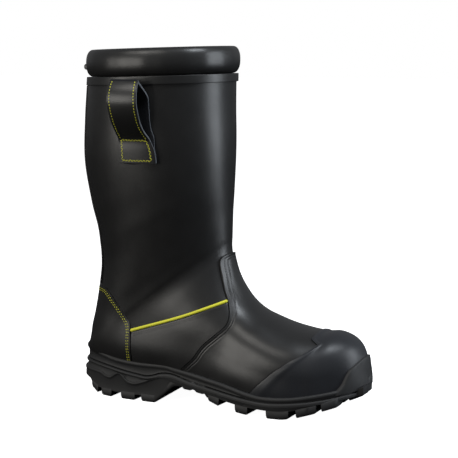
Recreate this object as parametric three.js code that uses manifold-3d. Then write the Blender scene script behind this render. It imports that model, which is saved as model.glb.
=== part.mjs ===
// Firefighter boot for the right foot: a pull-on leather boot on a lugged rubber sole.
// Millimetres. X runs from heel to toe, Y towards the other foot, Z up from the floor.
// The origin lies on the floor under the middle of the heel.
import * as THREE from "three";
import { mergeVertices } from "three/addons/utils/BufferGeometryUtils.js";
import Module from "manifold-3d";

const wasm = await Module();
wasm.setup();

// Main sizes
const SOLE_LENGTH = 302;
const BALL_WIDTH = 108;
const HEEL_SEAT = 50; // height of the sole's edge behind the heel
const ANKLE_HEIGHT = 150; // level where the shaft is narrowest
const SHAFT_HEIGHT = 322; // level of the seam under the collar
const SHAFT_WIDTH = 136;
const COLLAR_RISE = 4.5; // how much higher the collar's seam is in front than behind

// Thicknesses and fits
const WALL = 2.6; // shaft leather with its lining
const OVERLAY = 1.8; // vamp, counter, quarters and backstay
const TOE_GUARD = 2.8;
const BUMPER = 1.9; // rubber over the toe guard
const BAND = 1.1;
const INSOLE = 4;
const CLEARANCE = 0.3; // between any two pieces that meet
const EDGE_GAP = 0.5; // beside the edge of a piece laid over the upper

// Sole
const SEAT_DEPTH = 3.4; // how deep the upper stands in the sole
const LIP_HEIGHT = 5;
const LIP_INSET = 0.9;
const BAND_INSET = 2;
const LUG_INSET = 1;
const FOOT_INSET = 4; // the lugs narrow towards the floor
const FOOT_HEIGHT = 3;
const HEEL_FLARE = 3; // how far the heel's lugs stand out behind
const FLARE_LENGTH = 0.12; // share of the sole's length
const LUG_DEPTH = 5.5;
const CORE_INSET = 8; // the midsole's core lies in a tray of the outsole
const CORE_DEPTH = 3.5;
const CHANNEL_WIDTH = 5;
const CHANNEL_SPACING = 30;
const GROOVE_SWEEP = 5; // how far each groove runs back between its middle and its end

// Collar, trim and pull loops
const COLLAR_HEIGHT = 26.5;
const COLLAR_THICKNESS = 15;
const COLLAR_REACH = 3.2; // how far the roll stands out past the shaft
const COLLAR_FORWARD = 0.7; // how far the roll leans to the front
const COLLAR_SQUARENESS = 2.5;
const BAND_HEIGHT = 8;
const BACKSTAY_WIDTH = 52;
const PIPING_DIAMETER = 3.2;
const STRAP = 2.2; // thickness of a pull loop's leather
const LOOP_REACH = 24; // how far a pull loop stands out from the shaft
const TAB_WIDTH = 16;
const TAB_HEIGHT = 6;
const TAB_REACH = 8;
const TAB_LIFT = 7; // from the collar's seam up to the tab

// Fineness of the form and of the outlines
const TURNS = 22;
const OUTLINE_STEPS = 40;
const COLLAR_SIDES = 10;
const STRAP_STEPS = 3;
const PIPING_STEPS = 3; // between two points of its line
const PIPING_SIDES = 8;
const SEARCH_STEPS = 12; // round the form, and rounds of refining
const FAR = 400; // past everything

const { sign, abs, cos, sin, PI } = Math;

// Heights are levels: 0 the floor, 1 the heel seat, 2 the ankle, 3 the collar seam.
function height(level) {
  const marks = [0, HEEL_SEAT, ANKLE_HEIGHT, SHAFT_HEIGHT];
  const i = Math.min(Math.max(Math.floor(level), 0), marks.length - 2);
  return marks[i] + (level - i) * (marks[i + 1] - marks[i]);
}
const along = (share) => share * SOLE_LENGTH;

// Sections of the form, from the toe up to the shaft. Each joins a front point to a back point.
// x: shares of the sole's length. z: levels. Half widths and ridge: shares of the girth, which
// goes from the ball's width (rise 0) to the shaft's width (rise 1). Squareness: 2 is an ellipse.
const FORM = [
  // front x, z, back x, z, lateral, medial, ridge, rise, squareness front, back
  [0.978, 0.74, 0.978, 0.7, -0.069, 0.079, 0.074, 0, 2, 2],
  [0.974, 1.0, 0.974, 0.4, 0, 0.148, 0.074, 0, 2.2, 3],
  [0.965, 1.085, 0.965, 0.28, 0.079, 0.222, 0.074, 0, 2.3, 3.5],
  [0.95, 1.155, 0.95, 0.22, 0.153, 0.282, 0.074, 0, 2.4, 4],
  [0.924, 1.21, 0.924, 0.18, 0.231, 0.347, 0.07, 0, 2.4, 4.5],
  [0.887, 1.242, 0.887, 0.16, 0.31, 0.403, 0.06, 0, 2.35, 5],
  [0.851, 1.236, 0.851, 0.12, 0.37, 0.43, 0.046, 0, 2.3, 5],
  [0.821, 1.25, 0.821, 0.1, 0.398, 0.444, 0.037, 0, 2.3, 5],
  [0.781, 1.27, 0.781, 0.08, 0.435, 0.449, 0.023, 0, 2.3, 5],
  [0.728, 1.31, 0.728, 0.08, 0.454, 0.44, 0.01, 0, 2.25, 5],
  [0.675, 1.37, 0.662, 0.08, 0.454, 0.421, 0, 0, 2.2, 5],
  [0.629, 1.435, 0.583, 0.14, 0.435, 0.398, 0, 0, 2.15, 4.8],
  [0.593, 1.53, 0.497, 0.2, 0.402, 0.368, 0, 0, 2.1, 4.6],
  [0.563, 1.65, 0.391, 0.3, 0.398, 0.366, 0, 0, 2.1, 4.4],
  [0.54, 1.78, 0.265, 0.4, 0.403, 0.38, 0, 0, 2.1, 4],
  [0.5265, 1.92, 0.132, 0.44, 0.403, 0.389, 0, 0, 2.1, 3.4],
  [0.52, 2.03, 0.0265, 0.72, 0.398, 0.389, 0, 0, 2.1, 3],
  [0.52, 2.09, 0.033, 1.1, 0.402, 0.393, 0, 0.1, 2.1, 2.8],
  [0.52, 2.165, 0.046, 1.32, 0.414, 0.405, 0, 0.2, 2.1, 2.5],
  [0.52, 2.245, 0.06, 1.56, 0.424, 0.416, 0, 0.35, 2.1, 2.25],
  [0.5215, 2.33, 0.07, 1.82, 0.439, 0.43, 0, 0.5, 2.1, 2.1],
  [0.523, 2.435, 0.065, 2.075, 0.46, 0.452, 0, 0.65, 2.1, 2.1],
  [0.525, 2.56, 0.04, 2.27, 0.479, 0.472, 0, 0.8, 2.1, 2.1],
  [0.525, 2.685, 0.018, 2.51, 0.495, 0.488, 0, 0.9, 2.1, 2.1],
  [0.523, 2.825, 0.0215, 2.745, 0.496, 0.489, 0, 1, 2.1, 2.1],
  [0.523, 3.01, 0.033, 2.99, 0.5, 0.493, 0, 1, 2.1, 2.1],
  [0.523, 3.15, 0.04, 3.15, 0.5, 0.493, 0, 1, 2.1, 2.1],
];
const TOP_ROW = FORM.length - 2;

// Height of the collar's seam at a place along the boot
function seamHeight(x) {
  const [front, , back] = FORM[TOP_ROW];
  return SHAFT_HEIGHT + (COLLAR_RISE * (x - along(back))) / along(front - back);
}

// Sole's outline from above: x share, lateral and medial half widths in shares of the ball's width.
const OUTLINE = [
  [0.025, 0.235, 0.23],
  [0.08, 0.335, 0.33],
  [0.16, 0.398, 0.388],
  [0.27, 0.42, 0.404],
  [0.38, 0.426, 0.412],
  [0.5, 0.452, 0.412],
  [0.62, 0.502, 0.455],
  [0.7, 0.51, 0.487],
  [0.78, 0.494, 0.508],
  [0.86, 0.424, 0.484],
  [0.93, 0.302, 0.402],
  [0.98, 0.124, 0.252],
];
const TOE_TIP = 0.074; // how far the tip lies towards the medial side

// Lines along the sole's side: x share, level
const FEATHER = [
  [-0.05, 0.99], [0.03, 0.99], [0.07, 0.94], [0.113, 0.89], [0.165, 0.83], [0.25, 0.795],
  [0.34, 0.8], [0.385, 0.755], [0.45, 0.69], [0.5, 0.634], [0.57, 0.566], [0.655, 0.452],
  [0.71, 0.416], [0.79, 0.44], [0.87, 0.51], [0.93, 0.575], [1.05, 0.7],
];
const MIDLINE = [
  [-0.05, 0.73], [0.066, 0.69], [0.13, 0.652], [0.2, 0.59], [0.24, 0.558], [0.277, 0.536],
  [0.305, 0.568], [0.33, 0.62], [0.358, 0.636], [0.384, 0.62], [0.43, 0.546], [0.487, 0.48],
  [0.576, 0.4], [0.66, 0.34], [0.71, 0.32], [0.76, 0.332], [0.835, 0.372], [0.9, 0.43],
  [0.96, 0.5], [1.05, 0.56],
];
const WAVE = [
  [-0.05, 0.5], [0.086, 0.48], [0.113, 0.428], [0.14, 0.406], [0.172, 0.522], [0.192, 0.454],
  [0.21, 0.362], [0.244, 0.35], [0.306, 0.49], [0.34, 0.54], [0.4, 0.48], [0.5, 0.36],
  [0.6, 0.3], [0.71, 0.22], [0.8, 0.26], [0.9, 0.38], [1.05, 0.52],
];
const TREAD = [
  [0.017, 0.74], [0.004, 0.6], [-0.006, 0.46], [-0.008, 0.36], [-0.004, 0.25], [0.008, 0.19],
  [0.045, 0.15], [0.092, 0], [0.308, 0], [0.38, 0.38], [0.41, 0.39], [0.416, 0.35],
  [0.44, 0.34], [0.452, 0.37], [0.464, 0.316], [0.484, 0.3], [0.493, 0.31], [0.503, 0.24],
  [0.51, 0.18], [0.553, 0.1], [0.607, 0.048], [0.652, 0.02], [0.71, 0], [0.765, 0], [0.808, 0.045],
  [0.861, 0.13], [0.891, 0.19], [0.934, 0.26], [0.969, 0.35], [0.993, 0.42], [1, 0.5], [1, 0.7],
];
// Grooves between the lugs: x shares of the start and end at the sole's edge
const GROOVES = [
  [0.04, 0.048], [0.08, 0.095], [0.139, 0.178], [0.232, 0.256],
  [0.547, 0.607], [0.652, 0.715], [0.788, 0.81], [0.868, 0.882], [0.925, 0.935],
];
const TREAD_START = 6; // first row of the tread that faces the floor
const CHANNELS = [
  [0.05, 0.4],
  [0.5, 0.93],
];
const HEEL_LUG = (GROOVES[2][1] + GROOVES[3][0]) / 2;

// Edges of the pieces laid over the upper, seen from the side: x share, level
const VAMP_EDGE = [
  [0.56, 2.08], [0.52, 1.99], [0.509, 1.96], [0.506, 1.915], [0.516, 1.798], [0.531, 1.657],
  [0.546, 1.565], [0.561, 1.431], [0.559, 1.335], [0.524, 1.233], [0.472, 1.081], [0.412, 0.764],
  [0.38, 0.5], [0.36, 0],
];
const GUARD_EDGE = [
  [0.835, 1.4], [0.829, 1.247], [0.826, 1.215], [0.845, 1.185], [0.85, 1.167], [0.812, 1.096],
  [0.756, 0.987], [0.707, 0.751], [0.663, 0.485], [0.62, 0.2], [0.6, 0],
];
const COUNTER_EDGE = [
  [-0.1, 1.61], [0.06, 1.615], [0.111, 1.625], [0.14, 1.598], [0.175, 1.479], [0.209, 1.335],
  [0.222, 1.257], [0.224, 1.061], [0.226, 0.784], [0.23, 0.4],
];
const PIPING_LINE = [
  [0.223, 1.216], [0.295, 1.286], [0.403, 1.393], [0.5, 1.504], [0.546, 1.556],
];
const BUMPER_EDGE = [
  [0.92, 0.3], [0.936, 0.618], [0.951, 0.89], [0.958, 1.0], [0.968, 1.05], [1.1, 1.05], [1.1, 0.3],
];

// A pull loop, seen from the front: level, then how far its back and front lie from the shaft in
// shares of its reach, and from the side: x shares of its rear and front edges
const LOOP = [
  [2.535, 0, 0.18, 0.235, 0.351], [2.54, 0, 0.18, 0.234, 0.353], [2.61, 0, 0.18, 0.234, 0.349],
  [2.663, 0, 0.18, 0.234, 0.338], [2.69, 0, 0.28, 0.234, 0.331], [2.72, 0, 0.46, 0.235, 0.325],
  [2.767, 0, 0.7, 0.236, 0.321], [2.814, 0, 0.875, 0.237, 0.32], [2.86, 0.014, 0.98, 0.237, 0.319],
  [2.895, 0.07, 1, 0.237, 0.319], [2.93, 0.21, 0.96, 0.237, 0.319], [2.96, 0.38, 0.87, 0.237, 0.319],
  [2.983, 0.57, 0.75, 0.237, 0.319], [2.991, 0.65, 0.68, 0.237, 0.319],
];
const LOOP_HOLE = [2.65, 2.985]; // levels where the strap's two layers part and meet
const HOLE_MARGIN = 0.02; // how far the cut for the hole runs past the strap's edges

// Smooth value between the rows of a table, through every row
function blendRows(rows, u) {
  const i = Math.min(Math.max(Math.floor(u), 0), rows.length - 2);
  const t = u - i;
  const row = (k) => rows[Math.min(Math.max(k, 0), rows.length - 1)];
  const [a, b, c, d] = [row(i - 1), row(i), row(i + 1), row(i + 2)];
  return b.map((_, k) => {
    const slopeB = (c[k] - a[k]) / 2;
    const slopeC = (d[k] - b[k]) / 2;
    const rise = c[k] - b[k];
    return b[k] + slopeB * t + (3 * rise - 2 * slopeB - slopeC) * t * t
      + (slopeB + slopeC - 2 * rise) * t * t * t;
  });
}

// Point of the form: u counts the sections, turn goes round one, 0 at the front or top
function formPoint(u, turn) {
  const [fx, fz, bx, bz, lateral, medial, ridge, rise, front, back] = blendRows(FORM, u);
  const girth = BALL_WIDTH + (SHAFT_WIDTH - BALL_WIDTH) * rise;
  const power = 2 / (cos(turn) > 0 ? front : back);
  const lift = sign(cos(turn)) * abs(cos(turn)) ** power;
  const reach = sign(sin(turn)) * abs(sin(turn)) ** power;
  const side = reach > 0 ? medial - ridge : lateral + ridge;
  return new THREE.Vector3(
    along((fx + bx) / 2 + (lift * (fx - bx)) / 2),
    girth * (ridge + reach * side),
    (height(fz) + height(bz)) / 2 + (lift * (height(fz) - height(bz))) / 2,
  );
}

// The same point moved out along the form's normal
function offsetPoint(u, turn, offset) {
  const step = 0.02;
  const middle = Math.min(Math.max(u, step), FORM.length - 1 - step);
  const lengthwise = formPoint(middle + step, turn).sub(formPoint(middle - step, turn));
  const around = formPoint(middle, turn + step).sub(formPoint(middle, turn - step));
  const normal = around.cross(lengthwise).normalize();
  return formPoint(u, turn).addScaledVector(normal, offset);
}

// Where the form shows at a given x and z, on the lateral side (-1) or the medial side (1)
function locate(x, z, side) {
  const step = 1e-3;
  let at = { u: 0, turn: (side * PI) / 2, miss: Infinity };
  for (let u = 0; u < FORM.length; u++) {
    for (let turn = PI / SEARCH_STEPS; turn < PI; turn += PI / SEARCH_STEPS) {
      const p = formPoint(u, side * turn);
      const miss = Math.hypot(p.x - x, p.z - z);
      if (miss < at.miss) at = { u, turn: side * turn, miss };
    }
  }
  for (let round = 0; round < SEARCH_STEPS; round++) {
    const here = formPoint(at.u, at.turn);
    const perU = formPoint(at.u + step, at.turn).sub(here).divideScalar(step);
    const perTurn = formPoint(at.u, at.turn + step).sub(here).divideScalar(step);
    const [dx, dz] = [x - here.x, z - here.z];
    const size = perU.x * perTurn.z - perU.z * perTurn.x;
    at.u += (dx * perTurn.z - dz * perTurn.x) / size;
    at.turn += (perU.x * dz - perU.z * dx) / size;
  }
  return at;
}

// Closed geometry from rings of points: each end has a fan, or the last ring joins the first
function ringGeometry(rings, joined = false) {
  const count = rings[0].length;
  const points = rings.flat();
  const faces = [];
  const spans = joined ? rings.length : rings.length - 1;
  for (let r = 0; r < spans; r++) {
    const next = (r + 1) % rings.length;
    for (let i = 0; i < count; i++) {
      const j = (i + 1) % count;
      const [a, b, c, d] = [r * count + i, r * count + j, next * count + j, next * count + i];
      faces.push(a, b, c, a, c, d);
    }
  }
  const ends = joined ? [] : [[0, true], [rings.length - 1, false]];
  for (const [r, flip] of ends) {
    const middle = new THREE.Vector3();
    for (const p of rings[r]) middle.addScaledVector(p, 1 / count);
    const centre = points.push(middle) - 1;
    for (let i = 0; i < count; i++) {
      const [a, b] = [r * count + i, r * count + ((i + 1) % count)];
      faces.push(...(flip ? [centre, b, a] : [centre, a, b]));
    }
  }
  const geometry = new THREE.BufferGeometry().setFromPoints(points);
  geometry.setIndex(faces);
  return geometry;
}

// Geometry made a solid for cutting and joining
function solid(geometry) {
  const bare = new THREE.BufferGeometry();
  bare.setAttribute("position", geometry.getAttribute("position"));
  bare.setIndex(geometry.getIndex());
  const merged = mergeVertices(bare, 1e-4);
  return new wasm.Manifold(new wasm.Mesh({
    numProp: 3,
    vertProperties: Float32Array.from(merged.getAttribute("position").array),
    triVerts: Uint32Array.from(merged.getIndex().array),
  }));
}
const unite = (shapes) => shapes.reduce((sum, shape) => sum.add(shape));

// The whole form, grown or shrunk by an offset
function form(offset) {
  const turns = Array.from({ length: TURNS }, (_, i) => (2 * PI * i) / TURNS);
  const rings = FORM.map((_, u) => turns.map((turn) => offsetPoint(u, turn, offset)));
  return solid(ringGeometry(rings));
}

// Outline run across the boot between two Y values, from its side view
function sidePrism(points, from = -FAR, to = FAR) {
  const shape = new THREE.Shape(points.map(([x, z]) => new THREE.Vector2(x, z)));
  const geometry = new THREE.ExtrudeGeometry(shape, { depth: to - from, bevelEnabled: false });
  return solid(geometry.rotateX(PI / 2).translate(0, to, 0));
}

// Outline run upwards through the boot, from its plan
function planPrism(points) {
  const shape = new THREE.Shape(points.map(([x, y]) => new THREE.Vector2(x, y)));
  const geometry = new THREE.ExtrudeGeometry(shape, { depth: 2 * FAR, bevelEnabled: false });
  return solid(geometry.translate(0, 0, -FAR));
}

// A table's line in millimetres, smooth or with straight stretches, moved by a distance to its left
function lineOf(rows, shift = 0, steps = 1) {
  const points = [];
  for (let i = 0; i <= (rows.length - 1) * steps; i++) {
    const [x, level] = blendRows(rows, i / steps);
    points.push(new THREE.Vector2(along(x), height(level)));
  }
  const normals = points.slice(1).map((p, i) => {
    const way = p.clone().sub(points[i]).normalize();
    return new THREE.Vector2(-way.y, way.x);
  });
  return points.map((p, i) => {
    const before = normals[Math.max(i - 1, 0)];
    const after = normals[Math.min(i, normals.length - 1)];
    const miter = before.clone().add(after).divideScalar(1 + before.dot(after));
    return [p.x + miter.x * shift, p.y + miter.y * shift];
  });
}
const raised = (line, lift) => line.map(([x, z]) => [x, z + lift]);
const below = (line) => sidePrism([...line, [line.at(-1)[0], -FAR], [line[0][0], -FAR]]);
const above = (line) => sidePrism([...line, [line.at(-1)[0], FAR], [line[0][0], FAR]]);
const inFront = (line) => sidePrism([...line, [FAR, line.at(-1)[1]], [FAR, line[0][1]]]);
const underSeam = (drop) => below([-FAR, FAR].map((x) => [x, seamHeight(x) - drop]));

// The sole's outline from above, drawn in by an inset and let out round the heel by a flare
function soleOutline(inset, flare = 0) {
  const lateral = OUTLINE.map(([x, side]) => [along(x), -side * BALL_WIDTH]);
  const medial = OUTLINE.map(([x, , side]) => [along(x), side * BALL_WIDTH]).reverse();
  const corners = [[0, 0], ...lateral, [SOLE_LENGTH, TOE_TIP * BALL_WIDTH], ...medial];
  const curve = new THREE.CatmullRomCurve3(
    corners.map(([x, y]) => new THREE.Vector3(x, y, 0)), true, "centripetal");
  const points = [];
  for (let i = 0; i < OUTLINE_STEPS; i++) {
    const at = curve.getPoint(i / OUTLINE_STEPS);
    const way = curve.getTangent(i / OUTLINE_STEPS);
    const shift = inset - flare * Math.max(0, 1 - at.x / along(FLARE_LENGTH));
    points.push([at.x - way.y * shift, at.y + way.x * shift]);
  }
  return points;
}

// Lines and forms that several pieces share
const feather = lineOf(FEATHER);
const midline = lineOf(MIDLINE);
const seat = raised(feather, -SEAT_DEPTH);
const wall = form(0);
const overSkin = form(CLEARANCE);
const leatherFace = form(CLEARANCE + OVERLAY);
const leatherLayer = leatherFace.subtract(overSkin).intersect(above(raised(seat, CLEARANCE)));
const overLeather = form(2 * CLEARANCE + OVERLAY);
const overGuard = form(2 * CLEARANCE + TOE_GUARD);
const vampFront = inFront(lineOf(VAMP_EDGE));
const guardFront = inFront(lineOf(GUARD_EDGE));

function outsole() {
  const rimFoot = lineOf(WAVE);
  const rim = planPrism(soleOutline(0)).intersect(above(rimFoot));
  const lugs = planPrism(soleOutline(LUG_INSET, HEEL_FLARE))
    .intersect(below(raised(rimFoot, LUG_INSET)));
  const tread = lineOf(TREAD.slice(TREAD_START, -1));
  const feet = raised([[-FAR, tread[0][1]], ...tread], FOOT_HEIGHT);
  const footing = planPrism(soleOutline(FOOT_INSET, HEEL_FLARE))
    .intersect(below(raised(feet, LUG_INSET)));
  const tray = planPrism(soleOutline(CORE_INSET)).intersect(above(raised(midline, -CORE_DEPTH)));
  const block = unite([rim, lugs.subtract(below(feet)), footing])
    .intersect(below(raised(midline, -CLEARANCE))).intersect(sidePrism(lineOf(TREAD)));
  return block.subtract(tray).subtract(grooves());
}

// Grooves across the tread and channels along it, all cut to the lugs' depth
function grooves() {
  const edge = BALL_WIDTH;
  const across = GROOVES.map(([start, end]) => planPrism([
    [along(start) - GROOVE_SWEEP, -edge], [along(end) - GROOVE_SWEEP, -edge],
    [along(end) + GROOVE_SWEEP, 0], [along(end) - GROOVE_SWEEP, edge],
    [along(start) - GROOVE_SWEEP, edge], [along(start) + GROOVE_SWEEP, 0],
  ]));
  const lengthwise = CHANNELS.flatMap(([start, end]) => [-1, 1].map((side) => {
    const [near, far] = [CHANNEL_SPACING / 2, CHANNEL_SPACING / 2 + CHANNEL_WIDTH];
    const corners = [[start, near], [end, near], [end, far], [start, far]];
    return planPrism(corners.map(([x, y]) => [along(x), side * y]));
  }));
  const roof = raised(lineOf(TREAD.slice(TREAD_START, -1)), LUG_DEPTH);
  return unite([...across, ...lengthwise]).intersect(below([[-FAR, roof[0][1]], ...roof]));
}

function midsole() {
  const lipFoot = raised(feather, -LIP_HEIGHT);
  const lip = planPrism(soleOutline(LIP_INSET)).intersect(below(feather))
    .intersect(above(lipFoot));
  const band = planPrism(soleOutline(BAND_INSET)).intersect(below(raised(lipFoot, BAND_INSET)));
  const core = planPrism(soleOutline(CORE_INSET + CLEARANCE)).intersect(below(lipFoot))
    .intersect(above(raised(midline, CLEARANCE - CORE_DEPTH)));
  const bumper = form(2 * CLEARANCE + TOE_GUARD + BUMPER).intersect(sidePrism(lineOf(BUMPER_EDGE)));
  const guarded = overGuard.intersect(inFront(lineOf(GUARD_EDGE, -EDGE_GAP)));
  const recess = overLeather.add(guarded).intersect(above(seat));
  return unite([lip, band, bumper]).intersect(above(midline)).add(core).subtract(recess);
}

function insole() {
  return form(-WALL - CLEARANCE).intersect(above(raised(seat, CLEARANCE)))
    .intersect(below(raised(seat, CLEARANCE + INSOLE)));
}

function upper() {
  return wall.subtract(form(-WALL)).intersect(above(raised(seat, CLEARANCE)))
    .intersect(underSeam(0));
}

function vamp() {
  return leatherLayer.intersect(vampFront).subtract(inFront(lineOf(GUARD_EDGE, -EDGE_GAP)));
}

function toeGuard() {
  return form(CLEARANCE + TOE_GUARD).subtract(overSkin).intersect(above(raised(seat, CLEARANCE)))
    .intersect(guardFront);
}

function heelCounter() {
  return leatherLayer.intersect(below(lineOf(COUNTER_EDGE)));
}

function quarter(side) {
  const half = [0, side * FAR].sort((a, b) => a - b);
  const underPiping = lineOf(PIPING_LINE, -PIPING_DIAMETER / 2 - CLEARANCE);
  const region = sidePrism([...underPiping, [FAR, underPiping.at(-1)[1]], [FAR, 0], [0, 0],
    [0, underPiping[0][1]]], ...half);
  return leatherLayer.intersect(region).subtract(below(lineOf(COUNTER_EDGE, EDGE_GAP)))
    .subtract(inFront(lineOf(VAMP_EDGE, -EDGE_GAP)));
}

function backstay() {
  const strip = sidePrism([[-FAR, 0], [BACKSTAY_WIDTH, 0], [BACKSTAY_WIDTH, FAR], [-FAR, FAR]],
    -BACKSTAY_WIDTH / 2, BACKSTAY_WIDTH / 2);
  return leatherLayer.intersect(strip).subtract(below(lineOf(COUNTER_EDGE, EDGE_GAP)))
    .intersect(underSeam(BAND_HEIGHT + CLEARANCE));
}

function collarBand() {
  return form(CLEARANCE + BAND).subtract(overSkin).intersect(underSeam(0))
    .subtract(underSeam(BAND_HEIGHT));
}

// Padded roll round the top of the shaft
function collar() {
  const power = 2 / COLLAR_SQUARENESS;
  const flat = cos(PI / COLLAR_SIDES) ** power;
  const rings = Array.from({ length: TURNS }, (_, i) => {
    const turn = (2 * PI * i) / TURNS;
    return Array.from({ length: COLLAR_SIDES }, (_, k) => {
      const angle = (-2 * PI * (k + 0.5)) / COLLAR_SIDES;
      const [c, s] = [cos(angle), sin(angle)].map((v) => sign(v) * abs(v) ** power);
      const out = COLLAR_REACH + (COLLAR_THICKNESS * (c / flat - 1)) / 2;
      const point = offsetPoint(TOP_ROW, turn, out);
      point.x += COLLAR_FORWARD;
      point.z = seamHeight(point.x) + CLEARANCE + (COLLAR_HEIGHT * (1 + s)) / 2;
      return point;
    });
  });
  return solid(ringGeometry(rings, true));
}

function piping(side) {
  const radius = PIPING_DIAMETER / 2;
  const line = lineOf(PIPING_LINE, 0, PIPING_STEPS).slice(1, -1);
  const path = line.map(([x, z]) => {
    const { u, turn } = locate(x, z, side);
    return offsetPoint(u, turn, EDGE_GAP + radius);
  });
  const round = new THREE.Shape().absarc(0, 0, radius, 0, 2 * PI);
  const geometry = new THREE.ExtrudeGeometry(round, {
    steps: path.length, curveSegments: PIPING_SIDES / 2, extrudePath: new THREE.CatmullRomCurve3(path),
  });
  return solid(geometry);
}

// A body between two heights of the loop's table, from its back to its front
function loopBody(rows, side) {
  const rings = rows.map(([level, back, front, rear, fore]) => {
    const edge = (share, near) => {
      const { u, turn } = locate(along(share), height(level), side);
      return offsetPoint(u, turn, near);
    };
    const shares = Array.from({ length: STRAP_STEPS + 1 },
      (_, i) => rear + ((fore - rear) * i) / STRAP_STEPS);
    const outside = shares.map((share) => edge(share, front));
    const inside = shares.reverse().map((share) => edge(share, back));
    return [...outside, ...inside];
  });
  return solid(ringGeometry(side < 0 ? rings : rings.map((ring) => ring.reverse())));
}

function pullLoop(side) {
  const clear = (share) => CLEARANCE + share * LOOP_REACH;
  const strap = LOOP.map(([level, back, front, ...edges]) =>
    [level, clear(back), clear(front), ...edges]);
  const hole = strap.filter(([level]) => level > LOOP_HOLE[0] && level < LOOP_HOLE[1])
    .map(([level, back, front, rear, fore]) =>
      [level, back + STRAP, front - STRAP, rear - HOLE_MARGIN, fore + HOLE_MARGIN]);
  return loopBody(strap, side).subtract(loopBody(hole, side));
}

// Folded tab at the back of the collar
function rearTab() {
  const x = offsetPoint(TOP_ROW, PI, COLLAR_REACH + CLEARANCE).x + COLLAR_FORWARD;
  const z = SHAFT_HEIGHT + TAB_LIFT;
  const side = [[x, z], [x - TAB_REACH, z], [x - TAB_REACH, z + TAB_HEIGHT], [x, z + TAB_HEIGHT]];
  return sidePrism(side, -TAB_WIDTH / 2, TAB_WIDTH / 2);
}

const boot = new THREE.Group();
boot.position.x = -along(HEEL_LUG) - GROOVE_SWEEP;

function place(name, shape, finish) {
  const mesh = shape.getMesh();
  const geometry = new THREE.BufferGeometry();
  const vertices = Float32Array.from(mesh.vertProperties);
  const faces = Uint32Array.from(mesh.triVerts);
  geometry.setAttribute("position", new THREE.BufferAttribute(vertices, 3));
  geometry.setIndex(new THREE.BufferAttribute(faces, 1));
  geometry.computeVertexNormals();
  const piece = new THREE.Mesh(geometry, new THREE.MeshStandardMaterial(finish));
  piece.name = name;
  boot.add(piece);
}

const LEATHER = { color: 0x1c1c1d, roughness: 0.4, metalness: 0 };
const GUARD_RUBBER = { color: 0x25282d, roughness: 0.6, metalness: 0 };
const SOLE_RUBBER = { color: 0x1d1e20, roughness: 0.75, metalness: 0 };
const LINING = { color: 0x333333, roughness: 0.95, metalness: 0 };
const YELLOW = { color: 0xe3e61e, roughness: 0.5, metalness: 0 };

place("outsole", outsole(), SOLE_RUBBER);
place("midsole", midsole(), GUARD_RUBBER);
place("insole", insole(), LINING);
place("upper", upper(), LEATHER);
place("vamp", vamp(), LEATHER);
place("toe_guard", toeGuard(), GUARD_RUBBER);
place("heel_counter", heelCounter(), LEATHER);
place("backstay", backstay(), LEATHER);
place("collar_band", collarBand(), LEATHER);
place("collar", collar(), LEATHER);
place("rear_tab", rearTab(), LEATHER);
for (const [name, side] of [["lateral", -1], ["medial", 1]]) {
  place(`quarter_${name}`, quarter(side), LEATHER);
  place(`piping_${name}`, piping(side), YELLOW);
  place(`pull_loop_${name}`, pullLoop(side), LEATHER);
}

export default boot;
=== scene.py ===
"""Firefighter boot for the right foot: looks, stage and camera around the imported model.

Lengths are metres. X runs from heel to toe, Y towards the other foot, Z up from the floor.
"""
import math

import bmesh
import bpy
import numpy as np
from bpy.props import FloatProperty, FloatVectorProperty, PointerProperty
from mathutils import Matrix, Vector


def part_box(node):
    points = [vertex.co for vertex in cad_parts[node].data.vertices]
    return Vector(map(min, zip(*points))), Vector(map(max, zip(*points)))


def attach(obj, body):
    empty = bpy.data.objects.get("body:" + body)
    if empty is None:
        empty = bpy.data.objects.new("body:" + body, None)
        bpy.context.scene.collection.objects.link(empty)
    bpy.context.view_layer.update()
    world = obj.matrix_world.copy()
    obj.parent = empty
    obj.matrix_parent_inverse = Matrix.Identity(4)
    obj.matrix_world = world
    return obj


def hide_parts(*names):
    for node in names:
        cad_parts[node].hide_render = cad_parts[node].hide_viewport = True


bl_info = {
    "name": "Firefighter Boot",
    "version": (1, 0, 0),
    "blender": (4, 5, 0),
    "location": "View3D > Sidebar > Boot",
    "description": "Builds a right-foot firefighter boot, its stage and its camera",
    "category": "Object",
}

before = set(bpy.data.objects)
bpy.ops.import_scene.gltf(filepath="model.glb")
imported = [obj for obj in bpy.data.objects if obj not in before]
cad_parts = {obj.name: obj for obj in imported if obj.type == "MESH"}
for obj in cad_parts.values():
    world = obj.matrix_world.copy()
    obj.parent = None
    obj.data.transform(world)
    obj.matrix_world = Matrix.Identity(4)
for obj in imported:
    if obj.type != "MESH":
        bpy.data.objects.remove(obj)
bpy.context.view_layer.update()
MM = 0.001
SHARP = math.radians(48)  # faces that meet at a greater angle keep a sharp edge

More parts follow.
